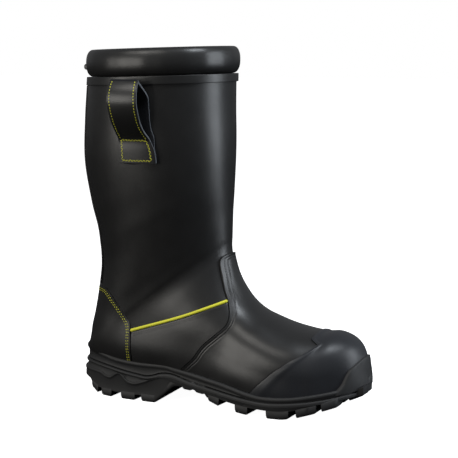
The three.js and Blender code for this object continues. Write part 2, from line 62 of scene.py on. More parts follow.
# Sections of the form, from the toe up to the shaft, each from a front point to a back point.
# x: shares of the sole's length. z: levels. Half widths and ridge: shares of the girth, which
# goes from the ball's width (rise 0) to the shaft's width (rise 1). Squareness: 2 is an ellipse.
FORM = np.array([
    # front x, z, back x, z, lateral, medial, ridge, rise, squareness front, back
    [0.978, 0.74, 0.978, 0.7, -0.069, 0.079, 0.074, 0, 2, 2],
    [0.974, 1.0, 0.974, 0.4, 0, 0.148, 0.074, 0, 2.2, 3],
    [0.965, 1.085, 0.965, 0.28, 0.079, 0.222, 0.074, 0, 2.3, 3.5],
    [0.95, 1.155, 0.95, 0.22, 0.153, 0.282, 0.074, 0, 2.4, 4],
    [0.924, 1.21, 0.924, 0.18, 0.231, 0.347, 0.07, 0, 2.4, 4.5],
    [0.887, 1.242, 0.887, 0.16, 0.31, 0.403, 0.06, 0, 2.35, 5],
    [0.851, 1.236, 0.851, 0.12, 0.37, 0.43, 0.046, 0, 2.3, 5],
    [0.821, 1.25, 0.821, 0.1, 0.398, 0.444, 0.037, 0, 2.3, 5],
    [0.781, 1.27, 0.781, 0.08, 0.435, 0.449, 0.023, 0, 2.3, 5],
    [0.728, 1.31, 0.728, 0.08, 0.454, 0.44, 0.01, 0, 2.25, 5],
    [0.675, 1.37, 0.662, 0.08, 0.454, 0.421, 0, 0, 2.2, 5],
    [0.629, 1.435, 0.583, 0.14, 0.435, 0.398, 0, 0, 2.15, 4.8],
    [0.593, 1.53, 0.497, 0.2, 0.402, 0.368, 0, 0, 2.1, 4.6],
    [0.563, 1.65, 0.391, 0.3, 0.398, 0.366, 0, 0, 2.1, 4.4],
    [0.54, 1.78, 0.265, 0.4, 0.403, 0.38, 0, 0, 2.1, 4],
    [0.5265, 1.92, 0.132, 0.44, 0.403, 0.389, 0, 0, 2.1, 3.4],
    [0.52, 2.03, 0.0265, 0.72, 0.398, 0.389, 0, 0, 2.1, 3],
    [0.52, 2.09, 0.033, 1.1, 0.402, 0.393, 0, 0.1, 2.1, 2.8],
    [0.52, 2.165, 0.046, 1.32, 0.414, 0.405, 0, 0.2, 2.1, 2.5],
    [0.52, 2.245, 0.06, 1.56, 0.424, 0.416, 0, 0.35, 2.1, 2.25],
    [0.5215, 2.33, 0.07, 1.82, 0.439, 0.43, 0, 0.5, 2.1, 2.1],
    [0.523, 2.435, 0.065, 2.075, 0.46, 0.452, 0, 0.65, 2.1, 2.1],
    [0.525, 2.56, 0.04, 2.27, 0.479, 0.472, 0, 0.8, 2.1, 2.1],
    [0.525, 2.685, 0.018, 2.51, 0.495, 0.488, 0, 0.9, 2.1, 2.1],
    [0.523, 2.825, 0.0215, 2.745, 0.496, 0.489, 0, 1, 2.1, 2.1],
    [0.523, 3.01, 0.033, 2.99, 0.5, 0.493, 0, 1, 2.1, 2.1],
    [0.523, 3.15, 0.04, 3.15, 0.5, 0.493, 0, 1, 2.1, 2.1],
])
LAST_ROW = len(FORM) - 1
TOP_ROW = LAST_ROW - 1  # the collar's seam lies near this section
LOW_ROW = TOP_ROW - 1  # and always above this one

# Sole's outline from above: x share, lateral and medial half widths in shares of the ball's width
OUTLINE = [
    [0.025, 0.235, 0.23],
    [0.08, 0.335, 0.33],
    [0.16, 0.398, 0.388],
    [0.27, 0.42, 0.404],
    [0.38, 0.426, 0.412],
    [0.5, 0.452, 0.412],
    [0.62, 0.502, 0.455],
    [0.7, 0.51, 0.487],
    [0.78, 0.494, 0.508],
    [0.86, 0.424, 0.484],
    [0.93, 0.302, 0.402],
    [0.98, 0.124, 0.252],
]
TOE_TIP = 0.074  # how far the tip lies towards the medial side, in shares of the ball's width

# Lines seen from the side: x share, level
FEATHER = [
    [-0.05, 0.99], [0.03, 0.99], [0.07, 0.94], [0.113, 0.89], [0.165, 0.83], [0.25, 0.795],
    [0.34, 0.8], [0.385, 0.755], [0.45, 0.69], [0.5, 0.634], [0.57, 0.566], [0.655, 0.452],
    [0.71, 0.416], [0.79, 0.44], [0.87, 0.51], [0.93, 0.575], [1.05, 0.7],
]
MIDLINE = [
    [-0.05, 0.73], [0.066, 0.69], [0.13, 0.652], [0.2, 0.59], [0.24, 0.558], [0.277, 0.536],
    [0.305, 0.568], [0.33, 0.62], [0.358, 0.636], [0.384, 0.62], [0.43, 0.546], [0.487, 0.48],
    [0.576, 0.4], [0.66, 0.34], [0.71, 0.32], [0.76, 0.332], [0.835, 0.372], [0.9, 0.43],
    [0.96, 0.5], [1.05, 0.56],
]
WAVE = [
    [-0.05, 0.5], [0.086, 0.48], [0.113, 0.428], [0.14, 0.406], [0.172, 0.522], [0.192, 0.454],
    [0.21, 0.362], [0.244, 0.35], [0.306, 0.49], [0.34, 0.54], [0.4, 0.48], [0.5, 0.36],
    [0.6, 0.3], [0.71, 0.22], [0.8, 0.26], [0.9, 0.38], [1.05, 0.52],
]
TREAD = [
    [-0.03, 0.19], [0.008, 0.19], [0.045, 0.15], [0.092, 0], [0.308, 0], [0.38, 0.38], [0.41, 0.39],
    [0.416, 0.35], [0.44, 0.34], [0.452, 0.37], [0.464, 0.316], [0.484, 0.3], [0.493, 0.31],
    [0.503, 0.24], [0.51, 0.18], [0.553, 0.1], [0.607, 0.048], [0.652, 0.02], [0.71, 0],
    [0.765, 0], [0.808, 0.045], [0.861, 0.13], [0.891, 0.19], [0.934, 0.26], [0.969, 0.35],
    [0.993, 0.42], [1.05, 0.5],
]
# Grooves between the lugs: x shares of the start and end at the sole's edge
GROOVES = [
    [0.04, 0.048], [0.08, 0.095], [0.139, 0.178], [0.232, 0.256],
    [0.547, 0.607], [0.652, 0.715], [0.788, 0.81], [0.868, 0.882], [0.925, 0.935],
]
HEEL_ROWS = (0, 0.308)
ARCH = (0.308, 0.503)
FOREFOOT_ROWS = (0.503, 0.985)
CHEVRON = 5  # how far each groove runs back between its middle and the sole's edge, mm
CHANNEL = (15, 20)  # where the lengthwise channels lie from the sole's middle, mm
COLLAR_FORWARD = 0.7  # how far the collar sits in front of the shaft's middle, mm
STITCHES = (2.4, 4.6)  # how far the vamp's stitch rows lie from its edge, mm
GROOVE = 7.8  # depth of the grooves, mm: deeper than in the plain solid
LOOP_WIDER = 0.016  # how much wider a pull loop's hidden leg is, as x share
LIGHT_AIM = (0.08, 0, 0.2)  # what the lights point at
FLARE_LENGTH = 0.12  # share of the sole's length over which the heel flares out
INSIDE = 3  # insets from here on lie on the inside of the sole's wall, mm

VAMP_EDGE = [
    [0.56, 2.08], [0.52, 1.99], [0.509, 1.96], [0.506, 1.915], [0.516, 1.798], [0.531, 1.657],
    [0.546, 1.565], [0.561, 1.431], [0.559, 1.335], [0.524, 1.233], [0.472, 1.081], [0.412, 0.764],
    [0.38, 0.5], [0.36, 0],
]
GUARD_EDGE = [
    [0.835, 1.4], [0.829, 1.247], [0.826, 1.215], [0.845, 1.185], [0.85, 1.167], [0.812, 1.096],
    [0.756, 0.987], [0.707, 0.751], [0.663, 0.485], [0.62, 0.2], [0.6, 0],
]
COUNTER_EDGE = [
    [-0.1, 1.61], [0.06, 1.615], [0.111, 1.625], [0.14, 1.598], [0.175, 1.479], [0.209, 1.335],
    [0.222, 1.257], [0.224, 1.061], [0.226, 0.784], [0.23, 0.4],
]
PIPING_LINE = [
    [0.223, 1.216], [0.295, 1.286], [0.403, 1.393], [0.5, 1.504], [0.546, 1.556],
]
BUMPER_EDGE = [
    [0.9, 0.45], [0.914, 0.56], [0.926, 0.65], [0.935, 0.79], [0.944, 0.92], [0.956, 1.0],
    [0.971, 1.045], [0.99, 1.055], [1.1, 1.055],
]

# A pull loop: level, then how far its back and front lie from the shaft in shares of its reach,
# and x shares of its rear and front edges
LOOP = np.array([
    [2.535, 0, 0.18, 0.235, 0.351], [2.54, 0, 0.18, 0.234, 0.353], [2.61, 0, 0.18, 0.234, 0.349],
    [2.663, 0, 0.18, 0.234, 0.338], [2.69, 0, 0.28, 0.234, 0.331], [2.72, 0, 0.46, 0.235, 0.325],
    [2.767, 0, 0.7, 0.236, 0.321], [2.814, 0, 0.875, 0.237, 0.32], [2.86, 0.014, 0.98, 0.237, 0.319],
    [2.895, 0.07, 1, 0.237, 0.319], [2.93, 0.21, 0.96, 0.237, 0.319], [2.96, 0.38, 0.87, 0.237, 0.319],
    [2.983, 0.57, 0.75, 0.237, 0.319], [2.991, 0.65, 0.68, 0.237, 0.319],
])

# Soft swells and creases: x share, level, half length and half breadth in mm, turn in degrees,
# rise in mm, and the side it lies on (0 both)
RELIEF = [
    [0.27, 1.02, 45, 13, 0, 1.3, 0],
    [0.3, 1.42, 50, 17, 6, -2.6, 0],
    [0.6, 0.72, 34, 12, -14, 1.0, 0],
    [0.62, 1.08, 40, 13, -20, -1.6, 0],
    [0.42, 1.74, 26, 3.5, 38, -0.7, -1],
    [0.36, 1.92, 24, 4, 28, -0.6, -1],
    [0.17, 1.9, 22, 4, -24, -0.6, -1],
    [0.4, 1.84, 24, 4, 32, 0.5, -1],
    [0.2, 2.16, 30, 7, -14, 0.5, -1],
    [0.35, 2.3, 34, 9, 20, -0.5, -1],
    [0.41, 1.8, 26, 4, 30, -0.7, 1],
    [0.2, 1.95, 24, 5, -20, -0.6, 1],
    [0.33, 2.2, 34, 9, 12, 0.5, 1],
]

HEEL_LUG = (GROOVES[2][1] + GROOVES[3][0]) / 2  # the origin lies under this lug, as x share
SIDES = {"lateral": -1, "medial": 1}


class BootSizes(bpy.types.PropertyGroup):
    """Sizes of the boot"""

    def size(name, description, default):
        return FloatProperty(name=name, description=description, default=default, unit="LENGTH",
                             precision=4)

    sole_length: size("Sole length", "From the back of the heel to the toe", 0.302)
    ball_width: size("Ball width", "Width of the sole across the ball", 0.108)
    heel_seat: size("Heel seat", "Height of the sole's edge behind the heel", 0.050)
    ankle_height: size("Ankle height", "Level where the shaft is narrowest", 0.150)
    shaft_height: size("Shaft height", "Level of the seam under the collar", 0.322)
    shaft_width: size("Shaft width", "Width of the shaft at its top", 0.136)
    collar_rise: size("Collar rise", "How much higher the collar's seam is in front", 0.0045)
    wall: size("Wall", "Shaft leather with its lining", 0.0026)
    overlay: size("Overlay", "Leather of vamp, counter, quarters and backstay", 0.0018)
    toe_guard: size("Toe guard", "Rubber over the toe", 0.0028)
    bumper: size("Bumper", "Rubber over the toe guard", 0.0019)
    band: size("Collar band", "Strip under the collar", 0.0007)
    clearance: size("Clearance", "Between any two pieces that meet", 0.0003)
    insole: size("Insole", "Thickness of the footbed", 0.004)
    seat_depth: size("Seat depth", "How deep the upper stands in the sole", 0.0034)
    collar_height: size("Collar height", "Height of the padded roll", 0.0265)
    collar_thickness: size("Collar thickness", "Thickness of the padded roll", 0.015)
    collar_reach: size("Collar reach", "How far the roll stands out past the shaft", 0.0032)
    backstay_width: size("Backstay width", "Width of the strip up the back", 0.052)
    band_height: size("Band height", "Height of the strip under the collar", 0.008)
    piping_diameter: size("Piping diameter", "Diameter of the yellow cord", 0.0032)
    strap: size("Strap", "Thickness of a pull loop's leather", 0.0022)
    loop_reach: size("Loop reach", "How far a pull loop stands out", 0.024)
    stitch_length: size("Stitch length", "From one stitch to the next", 0.0028)
    thread: size("Thread", "Thickness of the sewing thread", 0.0008)


class BootColours(bpy.types.PropertyGroup):
    """Colours of the boot"""

    def colour(name, description, default):
        return FloatVectorProperty(name=name, description=description, default=default, size=3,
                                   subtype="COLOR", min=0, max=1)

    leather: colour("Leather", "Smooth black leather", (0.0125, 0.0125, 0.0128))
    suede: colour("Suede", "Flesh side of the pull loops", (0.012, 0.013, 0.016))
    cut_edge: colour("Cut edge", "Cut edges of the straps", (0.075, 0.082, 0.094))
    guard: colour("Toe guard", "Rubber over the toe", (0.021, 0.0225, 0.0265))
    rubber: colour("Sole rubber", "Midsole and tread", (0.021, 0.0213, 0.0222))
    lining: colour("Lining", "Woven lining and footbed", (0.03, 0.03, 0.032))
    yellow: colour("Piping", "Lemon yellow cord and thread", (0.9, 0.86, 0.05))
    thread: colour("Black thread", "Thread of the leather seams", (0.016, 0.016, 0.017))
    floor: colour("Floor", "Studio floor and backdrop", (0.93, 0.93, 0.93))


def sizes():
    return bpy.context.scene.boot_sizes


def colours():
    return bpy.context.scene.boot_colours


def unit(vectors):
    return vectors / np.linalg.norm(vectors, axis=-1, keepdims=True)


def distance_along(points):
    """Distance of each point of a polyline from its first."""
    return np.concatenate([[0], np.cumsum(np.linalg.norm(np.diff(points, axis=0), axis=1))])


def smooth(t):
    """Soft step from 0 to 1."""
    t = np.clip(t, 0, 1)
    return t * t * (3 - 2 * t)


# The form and the lines on it

def blend_rows(rows, u):
    """Smooth value between the rows of a table, through every row."""
    rows = np.asarray(rows, float)
    u = np.asarray(u, float)
    last = len(rows) - 1
    i = np.clip(np.floor(u).astype(int), 0, last - 1)
    t = (u - i)[..., None]
    a, b, c, d = (rows[np.clip(i + k, 0, last)] for k in (-1, 0, 1, 2))
    slope_b, slope_c, rise = (c - a) / 2, (d - b) / 2, c - b
    return (b + slope_b * t + (3 * rise - 2 * slope_b - slope_c) * t ** 2
            + (slope_b + slope_c - 2 * rise) * t ** 3)


def height(level):
    """Height of a level: 0 the floor, 1 the heel seat, 2 the ankle, 3 the collar seam."""
    s = sizes()
    marks = np.array([0, s.heel_seat, s.ankle_height, s.shaft_height])
    level = np.asarray(level, float)
    i = np.clip(np.floor(level).astype(int), 0, len(marks) - 2)
    return marks[i] + (level - i) * (marks[i + 1] - marks[i])


def along(share):
    return (np.asarray(share, float) - HEEL_LUG) * sizes().sole_length - 5 * MM


def line(rows, steps=8):
    """A table's line as points (x, z), smooth between the rows."""
    u = np.linspace(0, len(rows) - 1, (len(rows) - 1) * steps + 1)
    x, level = blend_rows(rows, u).T
    return np.stack([along(x), height(level)], -1)


def level_of(rows, x, steps=8):
    """Height of a line at places x."""
    points = line(rows, steps)
    return np.interp(x, points[:, 0], points[:, 1])


def seam_height(x):
    """Height of the collar's seam."""
    front, back = along(FORM[TOP_ROW, 0]), along(FORM[TOP_ROW, 2])
    return sizes().shaft_height + sizes().collar_rise * (x - back) / (front - back)


def form_point(u, angle):
    """Point of the form: u counts the sections, angle goes round one from its front or top."""
    u, angle = np.broadcast_arrays(np.asarray(u, float), np.asarray(angle, float))
    row = np.moveaxis(blend_rows(FORM, u), -1, 0)
    fx, fz, bx, bz, lateral, medial, ridge, rise, front, back = row
    s = sizes()
    girth = s.ball_width + (s.shaft_width - s.ball_width) * rise
    c, n = np.cos(angle), np.sin(angle)
    power = np.where(c > 0, front, back)
    radius = (np.abs(c) ** power + np.abs(n) ** power) ** (-1 / power)
    lift, reach = radius * c, radius * n
    side = np.where(reach > 0, medial - ridge, lateral + ridge)
    low, high = height(bz), height(fz)
    return np.stack([
        along((fx + bx) / 2 + lift * (fx - bx) / 2),
        girth * (ridge + reach * side),
        (high + low) / 2 + lift * (high - low) / 2,
    ], -1)


def form_normal(u, angle):
    step = 0.02
    middle = np.clip(u, step, LAST_ROW - step)
    lengthwise = form_point(middle + step, angle) - form_point(middle - step, angle)
    around = form_point(middle, angle + step) - form_point(middle, angle - step)
    return unit(np.cross(around, lengthwise))


def relief(points):
    """How far soft leather swells or sinks at points of the form."""
    total = np.zeros(points.shape[:-1])
    for x, level, length, breadth, turn, rise, side in RELIEF:
        across = points[..., 0] - along(x), points[..., 2] - height(level)
        c, n = math.cos(math.radians(turn)), math.sin(math.radians(turn))
        far = ((across[0] * c + across[1] * n) / length) ** 2
        far = far + ((across[1] * c - across[0] * n) / breadth) ** 2
        here = smooth((points[..., 1] * side + 0.008) / 0.016) if side else 1
        total += rise * MM * here * np.exp(-far / MM ** 2)
    return total


def pressed(points, rows, shifts):
    """How far rows of stitches press the leather in, beside an edge seen from the side."""
    edge = even(line(rows), spacing=MM)
    away = np.stack([np.hypot(*(row[:, None] - edge[None]).transpose(2, 0, 1)).min(1)
                     for row in points[..., [0, 2]]])
    return sum(-0.28 * MM * np.exp(-((away - shift * MM) / (0.6 * MM)) ** 2) for shift in shifts)


def skin(u, angle, offset=0.0):
    """Point of the form moved out along its normal, with the leather's soft relief."""
    base = form_point(u, angle)
    out = np.asarray(offset, float) + relief(base)
    return base + form_normal(u, angle) * out[..., None]


def meet(planes, toward, centre=(0, 0, 0), rounds=16):
    """Where the form meets pairs of planes, on the side that faces toward: u and angle.

    planes: two pairs of normals (N, 3) and distances (N,).
    """
    (n1, d1), (n2, d2) = [(np.broadcast_to(n, (len(d), 3)), np.asarray(d, float)) for n, d in planes]
    toward = np.broadcast_to(toward, (len(d1), 3))

    def miss(points):
        return np.stack([(points * n1).sum(-1) - d1, (points * n2).sum(-1) - d2], -1)

    us = np.linspace(0, len(FORM) - 1, 79)
    angles = np.linspace(-math.pi, math.pi, 49)[:-1]
    grid_u, grid_a = [g.ravel() for g in np.meshgrid(us, angles, indexing="ij")]
    grid = form_point(grid_u, grid_a)
    far = np.abs(grid @ n1.T - d1) + np.abs(grid @ n2.T - d2)
    far += 10.0 * ((grid - np.asarray(centre)) @ toward.T < 0)
    best = far.argmin(0)
    u, angle = grid_u[best], grid_a[best]
    step = 1e-3
    for _ in range(rounds):
        here = miss(form_point(u, angle))
        per_u = (miss(form_point(u + step, angle)) - here) / step
        per_a = (miss(form_point(u, angle + step)) - here) / step
        size = per_u[:, 0] * per_a[:, 1] - per_u[:, 1] * per_a[:, 0]
        size = np.where(np.abs(size) < 1e-12, 1e-12, size)
        du = (per_a[:, 0] * here[:, 1] - per_a[:, 1] * here[:, 0]) / size
        da = (per_u[:, 1] * here[:, 0] - per_u[:, 0] * here[:, 1]) / size
        u = np.clip(u + np.clip(du, -0.5, 0.5), 0, LAST_ROW)
        angle = angle + np.clip(da, -0.2, 0.2)
    return u, angle


def locate(x, z, side):
    """Where the form shows at places x and z, on the lateral side (-1) or the medial side (1)."""
    x, z = np.broadcast_arrays(np.asarray(x, float), np.asarray(z, float))
    u, angle = meet([((1, 0, 0), x.ravel()), ((0, 0, 1), z.ravel())], (0, side, 0))
    return u.reshape(x.shape), angle.reshape(x.shape)


def crossing(curves, edge):
    """Place, in steps along each curve (N, M, 2), of its first crossing of an edge (K, 2)."""
    result = np.full(len(curves), np.nan)
    a, b = edge[:-1], edge[1:]
    for i, curve in enumerate(curves):
        p, q = curve[:-1, None], curve[1:, None]
        way, span = q - p, (b - a)[None]
        size = way[..., 0] * span[..., 1] - way[..., 1] * span[..., 0]
        size = np.where(np.abs(size) < 1e-15, 1e-15, size)
        gap = a[None] - p
        t = (gap[..., 0] * span[..., 1] - gap[..., 1] * span[..., 0]) / size
        w = (gap[..., 0] * way[..., 1] - gap[..., 1] * way[..., 0]) / size
        hit = (t >= 0) & (t <= 1) & (w >= 0) & (w <= 1)
        rows = np.flatnonzero(hit.any(1))
        if len(rows):
            result[i] = rows[0] + t[rows[0]][hit[rows[0]]].min()
    return result


FOOT_STEPS = 400  # along the form, to find where its lines run


class Foot:
    """The upper's skin in two coordinates: u along the form, share from the ridge (0) to the
    sole's seat (1) on the medial side, or to -1 on the lateral side."""

    def __init__(self):
        self.u = np.linspace(0, len(FORM) - 1, FOOT_STEPS)
        self.low = {side: self.lowest(side) for side in (-1, 1)}

    def lowest(self, side):
        angles = np.linspace(0, math.pi, 181)
        points = form_point(self.u[:, None], side * angles[None])
        above = points[..., 2] - level_of(FEATHER, points[..., 0]) + sizes().seat_depth
        below = above < 0
        first = np.where(below.any(1), below.argmax(1), len(angles) - 1)
        before = np.maximum(first - 1, 0)
        rows = np.arange(len(first))
        high, low = above[rows, before], above[rows, first]
        part = np.where(below.any(1), high / np.maximum(high - low, 1e-9), 1)
        return angles[before] + part * (angles[first] - angles[before])

    def angle(self, u, share):
        u, share = np.broadcast_arrays(np.asarray(u, float), np.asarray(share, float))
        low = np.where(share < 0, np.interp(u, self.u, self.low[-1]), np.interp(u, self.u, self.low[1]))
        return share * low

    def edge(self, flat, shares, last=20.0):
        """u where a line seen from the side crosses the skin at each share, from the toe."""
        u = np.linspace(0, last, FOOT_STEPS)
        points = form_point(u[None], self.angle(u[None], shares[:, None]))
        steps = crossing(points[..., [0, 2]], flat)
        known = np.isfinite(steps)
        steps = np.interp(shares, shares[known], steps[known])
        return np.interp(steps, np.arange(len(u)), u)


# Meshes

def sheet(points, outward=None, close_rows=False, close_columns=False):
    """Surface through points (rows, columns, 3), shaped from a flat grid."""
    bm = bmesh.new()
    if close_rows:
        points = np.concatenate([points, points[:1]], 0)
    if close_columns:
        points = np.concatenate([points, points[:, :1]], 1)
    rows, columns = points.shape[:2]
    bmesh.ops.create_grid(bm, x_segments=columns - 1, y_segments=rows - 1, size=1)
    for vert, place in zip(bm.verts, points.reshape(-1, 3)):
        vert.co = place
    if outward is not None:
        bm.faces.ensure_lookup_table()
        middle = bm.faces[(rows - 1) // 2 * (columns - 1) + (columns - 1) // 2]
        middle.normal_update()
        if middle.normal.dot(Vector(outward)) < 0:
            bmesh.ops.reverse_faces(bm, faces=bm.faces)
    bmesh.ops.remove_doubles(bm, verts=bm.verts, dist=1e-6)
    if close_rows and close_columns:
        bmesh.ops.recalc_face_normals(bm, faces=bm.faces)
    return bm


def join(parts):
    """Several bmeshes as one."""
    whole = bmesh.new()
    for part in parts:
        mesh = bpy.data.meshes.new("part")
        part.to_mesh(mesh)
        part.free()
        whole.from_mesh(mesh)
        bpy.data.meshes.remove(mesh)
    return whole


def piece(name, bm, materials, nodes=()):
    """Object of a finished mesh, riding on the boot."""
    mesh = bpy.data.meshes.new(name)
    bm.to_mesh(mesh)
    bm.free()
    mesh.shade_smooth()
    mesh.set_sharp_from_angle(angle=SHARP)
    for material in materials:
        mesh.materials.append(material)
    thing = bpy.data.objects.new(name, mesh)
    bpy.context.collection.objects.link(thing)
    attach(thing, "root")
    if nodes:
        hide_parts(*nodes)
    return thing


def thicken(thing, thickness, edge=0.0006, inner=0, rim=0, offset=-1.0):
    """Gives a sheet its thickness and rounds its cut edges."""
    solidify = thing.modifiers.new("thickness", "SOLIDIFY")
    solidify.thickness = thickness
    solidify.offset = offset
    solidify.material_offset = inner
    solidify.material_offset_rim = rim
    if edge:
        bevel = thing.modifiers.new("edges", "BEVEL")
        bevel.width = edge
        bevel.segments = 3
        bevel.limit_method = "ANGLE"
        bevel.angle_limit = math.radians(50)
    return thing


def even(points, count=None, spacing=None):
    """A polyline's points made even along its length."""
    run = distance_along(points)
    if count is None:
        count = max(int(run[-1] / spacing) + 1, 2)
    at = np.linspace(0, run[-1], count)
    return np.stack([np.interp(at, run, points[:, k]) for k in range(points.shape[1])], -1)


def along_path(path, length):
    """Even marks along a path, about a length apart, and a function that reads values there."""
    run = distance_along(path)
    marks = np.linspace(0, run[-1], max(int(run[-1] / length), 1) + 1)

    def at(values, where):
        return np.stack([np.interp(where, run, values[:, k]) for k in range(3)], -1)

    return marks, at


def stitch_row(path, normals, length, thread, cover=0.62, slant=0.0):
    """Stitches along a path on a surface: short rounded threads, a little proud of it.

    cover is a stitch's share of its length, and slant how far its ends lie to the sides.
    """
    bm = bmesh.new()
    marks, at = along_path(path, length)
    ups = at(normals, (marks[:-1] + marks[1:]) / 2)
    starts, ends = at(path, marks[:-1]), at(path, marks[1:])
    sides = slant * unit(np.cross(ups, ends - starts))
    for start, end, up, side in zip(starts, ends, ups, sides):
        one_stitch(bm, Vector(start - side), Vector(end + side), Vector(up), thread, cover)
    return bm


def zigzag_row(path, normals, length, thread, swing):
    """Stitches that run from side to side along a path."""
    bm = bmesh.new()
    marks, at = along_path(path, length)
    middles, ups = at(path, marks), at(normals, marks)
    across = swing * unit(np.cross(ups, np.gradient(middles, axis=0)))
    points = middles + across * np.where(np.arange(len(marks)) % 2, 1, -1)[:, None]
    for start, end, up in zip(points[:-1], points[1:], ups):
        one_stitch(bm, Vector(start), Vector(end), Vector(up), thread, 0.86)
    return bm


def one_stitch(bm, start, end, up, thread, cover):
    way = end - start
    half = way.length * cover / 2
    way.normalize()
    across = up.cross(way).normalized()
    lift = way.cross(across).normalized()
    place = Matrix((way, across, lift)).transposed().to_4x4()
    place.translation = (start + end) / 2 + lift * thread * 0.12
    shape = Matrix.Diagonal((half, thread * 0.5, thread * 0.42, 1))
    bmesh.ops.create_uvsphere(bm, u_segments=6, v_segments=4, radius=1,
                              matrix=place @ shape @ Matrix.Rotation(math.pi / 2, 4, "Y"))


def shifted(flat, shift):
    """A line in a plane, moved to its left."""
    way = unit(np.gradient(flat, axis=0))
    return flat + np.stack([-way[:, 1], way[:, 0]], -1) * shift


def side_path(rows, side, offset, shift=0.0, start=0.0, end=1.0, spacing=0.001):
    """A side-view line laid on the form, moved to its left by a shift: points and normals."""
    flat = shifted(even(line(rows), spacing=spacing), shift)
    count = len(flat)
    flat = flat[int(start * count):max(int(end * count), 2)]
    u, angle = locate(flat[:, 0], flat[:, 1], side)
    points = form_point(u, angle)
    good = np.hypot(points[:, 0] - flat[:, 0], points[:, 2] - flat[:, 1]) < 0.0004
    u, angle = u[good], angle[good]
    return skin(u, angle, np.full(len(u), offset)), form_normal(u, angle)


# Materials

class Value:
    """A socket in a material. Arithmetic on it adds Math nodes."""

    def __init__(self, finish, socket):
        self.finish = finish
        self.socket = socket

    def math(self, operation, *inputs):
        return self.finish.add("ShaderNodeMath", {"operation": operation}, dict(enumerate(inputs)))

    def __add__(self, other):
        return self.math("ADD", self, other)

    def __radd__(self, other):
        return self.math("ADD", other, self)

    def __sub__(self, other):
        return self.math("SUBTRACT", self, other)

    def __rsub__(self, other):
        return self.math("SUBTRACT", other, self)

    def __mul__(self, other):
        return self.math("MULTIPLY", self, other)

    def __rmul__(self, other):
        return self.math("MULTIPLY", other, self)

    def __truediv__(self, other):
        return self.math("DIVIDE", self, other)

    def __pow__(self, other):
        return self.math("POWER", self, other)


class Finish:
    """A material and the ways to add nodes to it."""

    def __init__(self, name, colour, roughness, **fixed):
        self.material = bpy.data.materials.new(name)
        self.material.use_nodes = True
        self.tree = self.material.node_tree
        self.shader = self.tree.nodes["Principled BSDF"]
        self.material.diffuse_color = (*colour, 1)
        self.set("Base Color", (*colour, 1))
        self.set("Roughness", roughness)
        for key, value in fixed.items():
            self.set(key.replace("_", " "), value)

    def set(self, key, value):
        """Gives an input of the main shader a number, a colour or a link."""
        self.feed(self.shader, key, value)

    def feed(self, node, key, value):
        socket = node.inputs[key] if isinstance(key, int) else next(
            s for s in node.inputs if key in (s.identifier, s.name) and s.enabled)
        if isinstance(value, Value):
            self.tree.links.new(value.socket, socket)
        else:
            socket.default_value = value

    def add(self, kind, settings=None, inputs=None, output=0):
        """Adds a node: settings first, then the values or links of its inputs."""
        node = self.tree.nodes.new(kind)
        for key, value in (settings or {}).items():
            setattr(node, key, value)
        for key, value in (inputs or {}).items():
            self.feed(node, key, value)
        sockets = [s for s in node.outputs if s.enabled]
        return Value(self, sockets[output] if isinstance(output, int) else node.outputs[output])

    def place(self):
        return self.add("ShaderNodeTexCoord", output="Object")

    def noise(self, scale, detail=2.0, roughness=0.5):
        return self.add("ShaderNodeTexNoise", inputs={
            "Scale": scale, "Detail": detail, "Roughness": roughness, "Vector": self.place()})

    def cells(self, scale):
        return self.add("ShaderNodeTexVoronoi", {"feature": "SMOOTH_F1"},
                        {"Scale": scale, "Vector": self.place()})

    def bands(self, direction, scale):
        return self.add("ShaderNodeTexWave", {"bands_direction": direction},
                        {"Scale": scale, "Distortion": 1.0, "Vector": self.place()}, 1)

    def tinted(self, colour, value, dark, light):
        """Varies the base colour with a value, between two multiples of a colour."""
        shades = [(*[min(c * factor, 1) for c in colour], 1) for factor in (dark, light)]
        self.set("Base Color", self.add("ShaderNodeMix", {"data_type": "RGBA"}, {
            "Factor_Float": value, "A_Color": shades[0], "B_Color": shades[1]}))

    def raised(self, value, depth, strength):
        """Raises the surface by a value, in metres for a value of 1."""
        self.set("Normal", self.add("ShaderNodeBump", None, {
            "Height": value, "Distance": depth, "Strength": strength}))


def leather():
    """Smooth black leather: fine grain, soft variation, half gloss."""
    base = colours().leather
    finish = Finish("leather", base, 0.42, Specular_IOR_Level=0.5, Coat_Roughness=0.28)
    finish.tinted(base, finish.noise(18, 3), 0.8, 1.3)
    grain = finish.cells(1500)
    fine = finish.noise(2600, 2)
    pores = finish.noise(420, 3)
    finish.set("Roughness", finish.noise(70, 4) * 0.12 + 0.32)
    finish.set("Coat Weight", finish.noise(9, 2) * 0.12 + 0.06)
    finish.raised(grain * 0.6 + fine * 0.25 + pores * 0.35, 0.00007, 0.55)
    return finish


def rubber(base, roughness=0.6, grain=0.00008):
    """Moulded rubber: matt, finely pitted, faintly dusty."""
    finish = Finish("rubber", base, roughness, Specular_IOR_Level=0.45)
    finish.tinted(base, finish.noise(26, 4), 0.82, 1.25)
    pits = finish.noise(1700, 3, 0.6)
    finish.set("Roughness", finish.noise(60, 4) * 0.16 + (roughness - 0.08))
    finish.raised(pits, grain, 0.7)
    return finish


def fibrous(base, roughness, noise, shades, depth, strength, **fixed):
    """Yarn, nap or cut leather: one noise both tints and raises it."""
    finish = Finish("fibres", base, roughness, **fixed)
    fibres = finish.noise(*noise)
    finish.tinted(base, fibres, *shades)
    finish.raised(fibres, depth, strength)
    return finish


def suede():
    """Flesh side of the leather: short nap, no shine."""
    return fibrous(colours().suede, 0.95, (900, 4, 0.7), (0.6, 1.7), 0.0003, 0.8,
                   Specular_IOR_Level=0.2, Sheen_Weight=0.15, Sheen_Roughness=0.5)


def cut_edge():
    """Cut edge of a strap: dyed, slightly fibrous."""
    return fibrous(colours().cut_edge, 0.7, (1400, 3), (0.7, 1.3), 0.00012, 0.6)


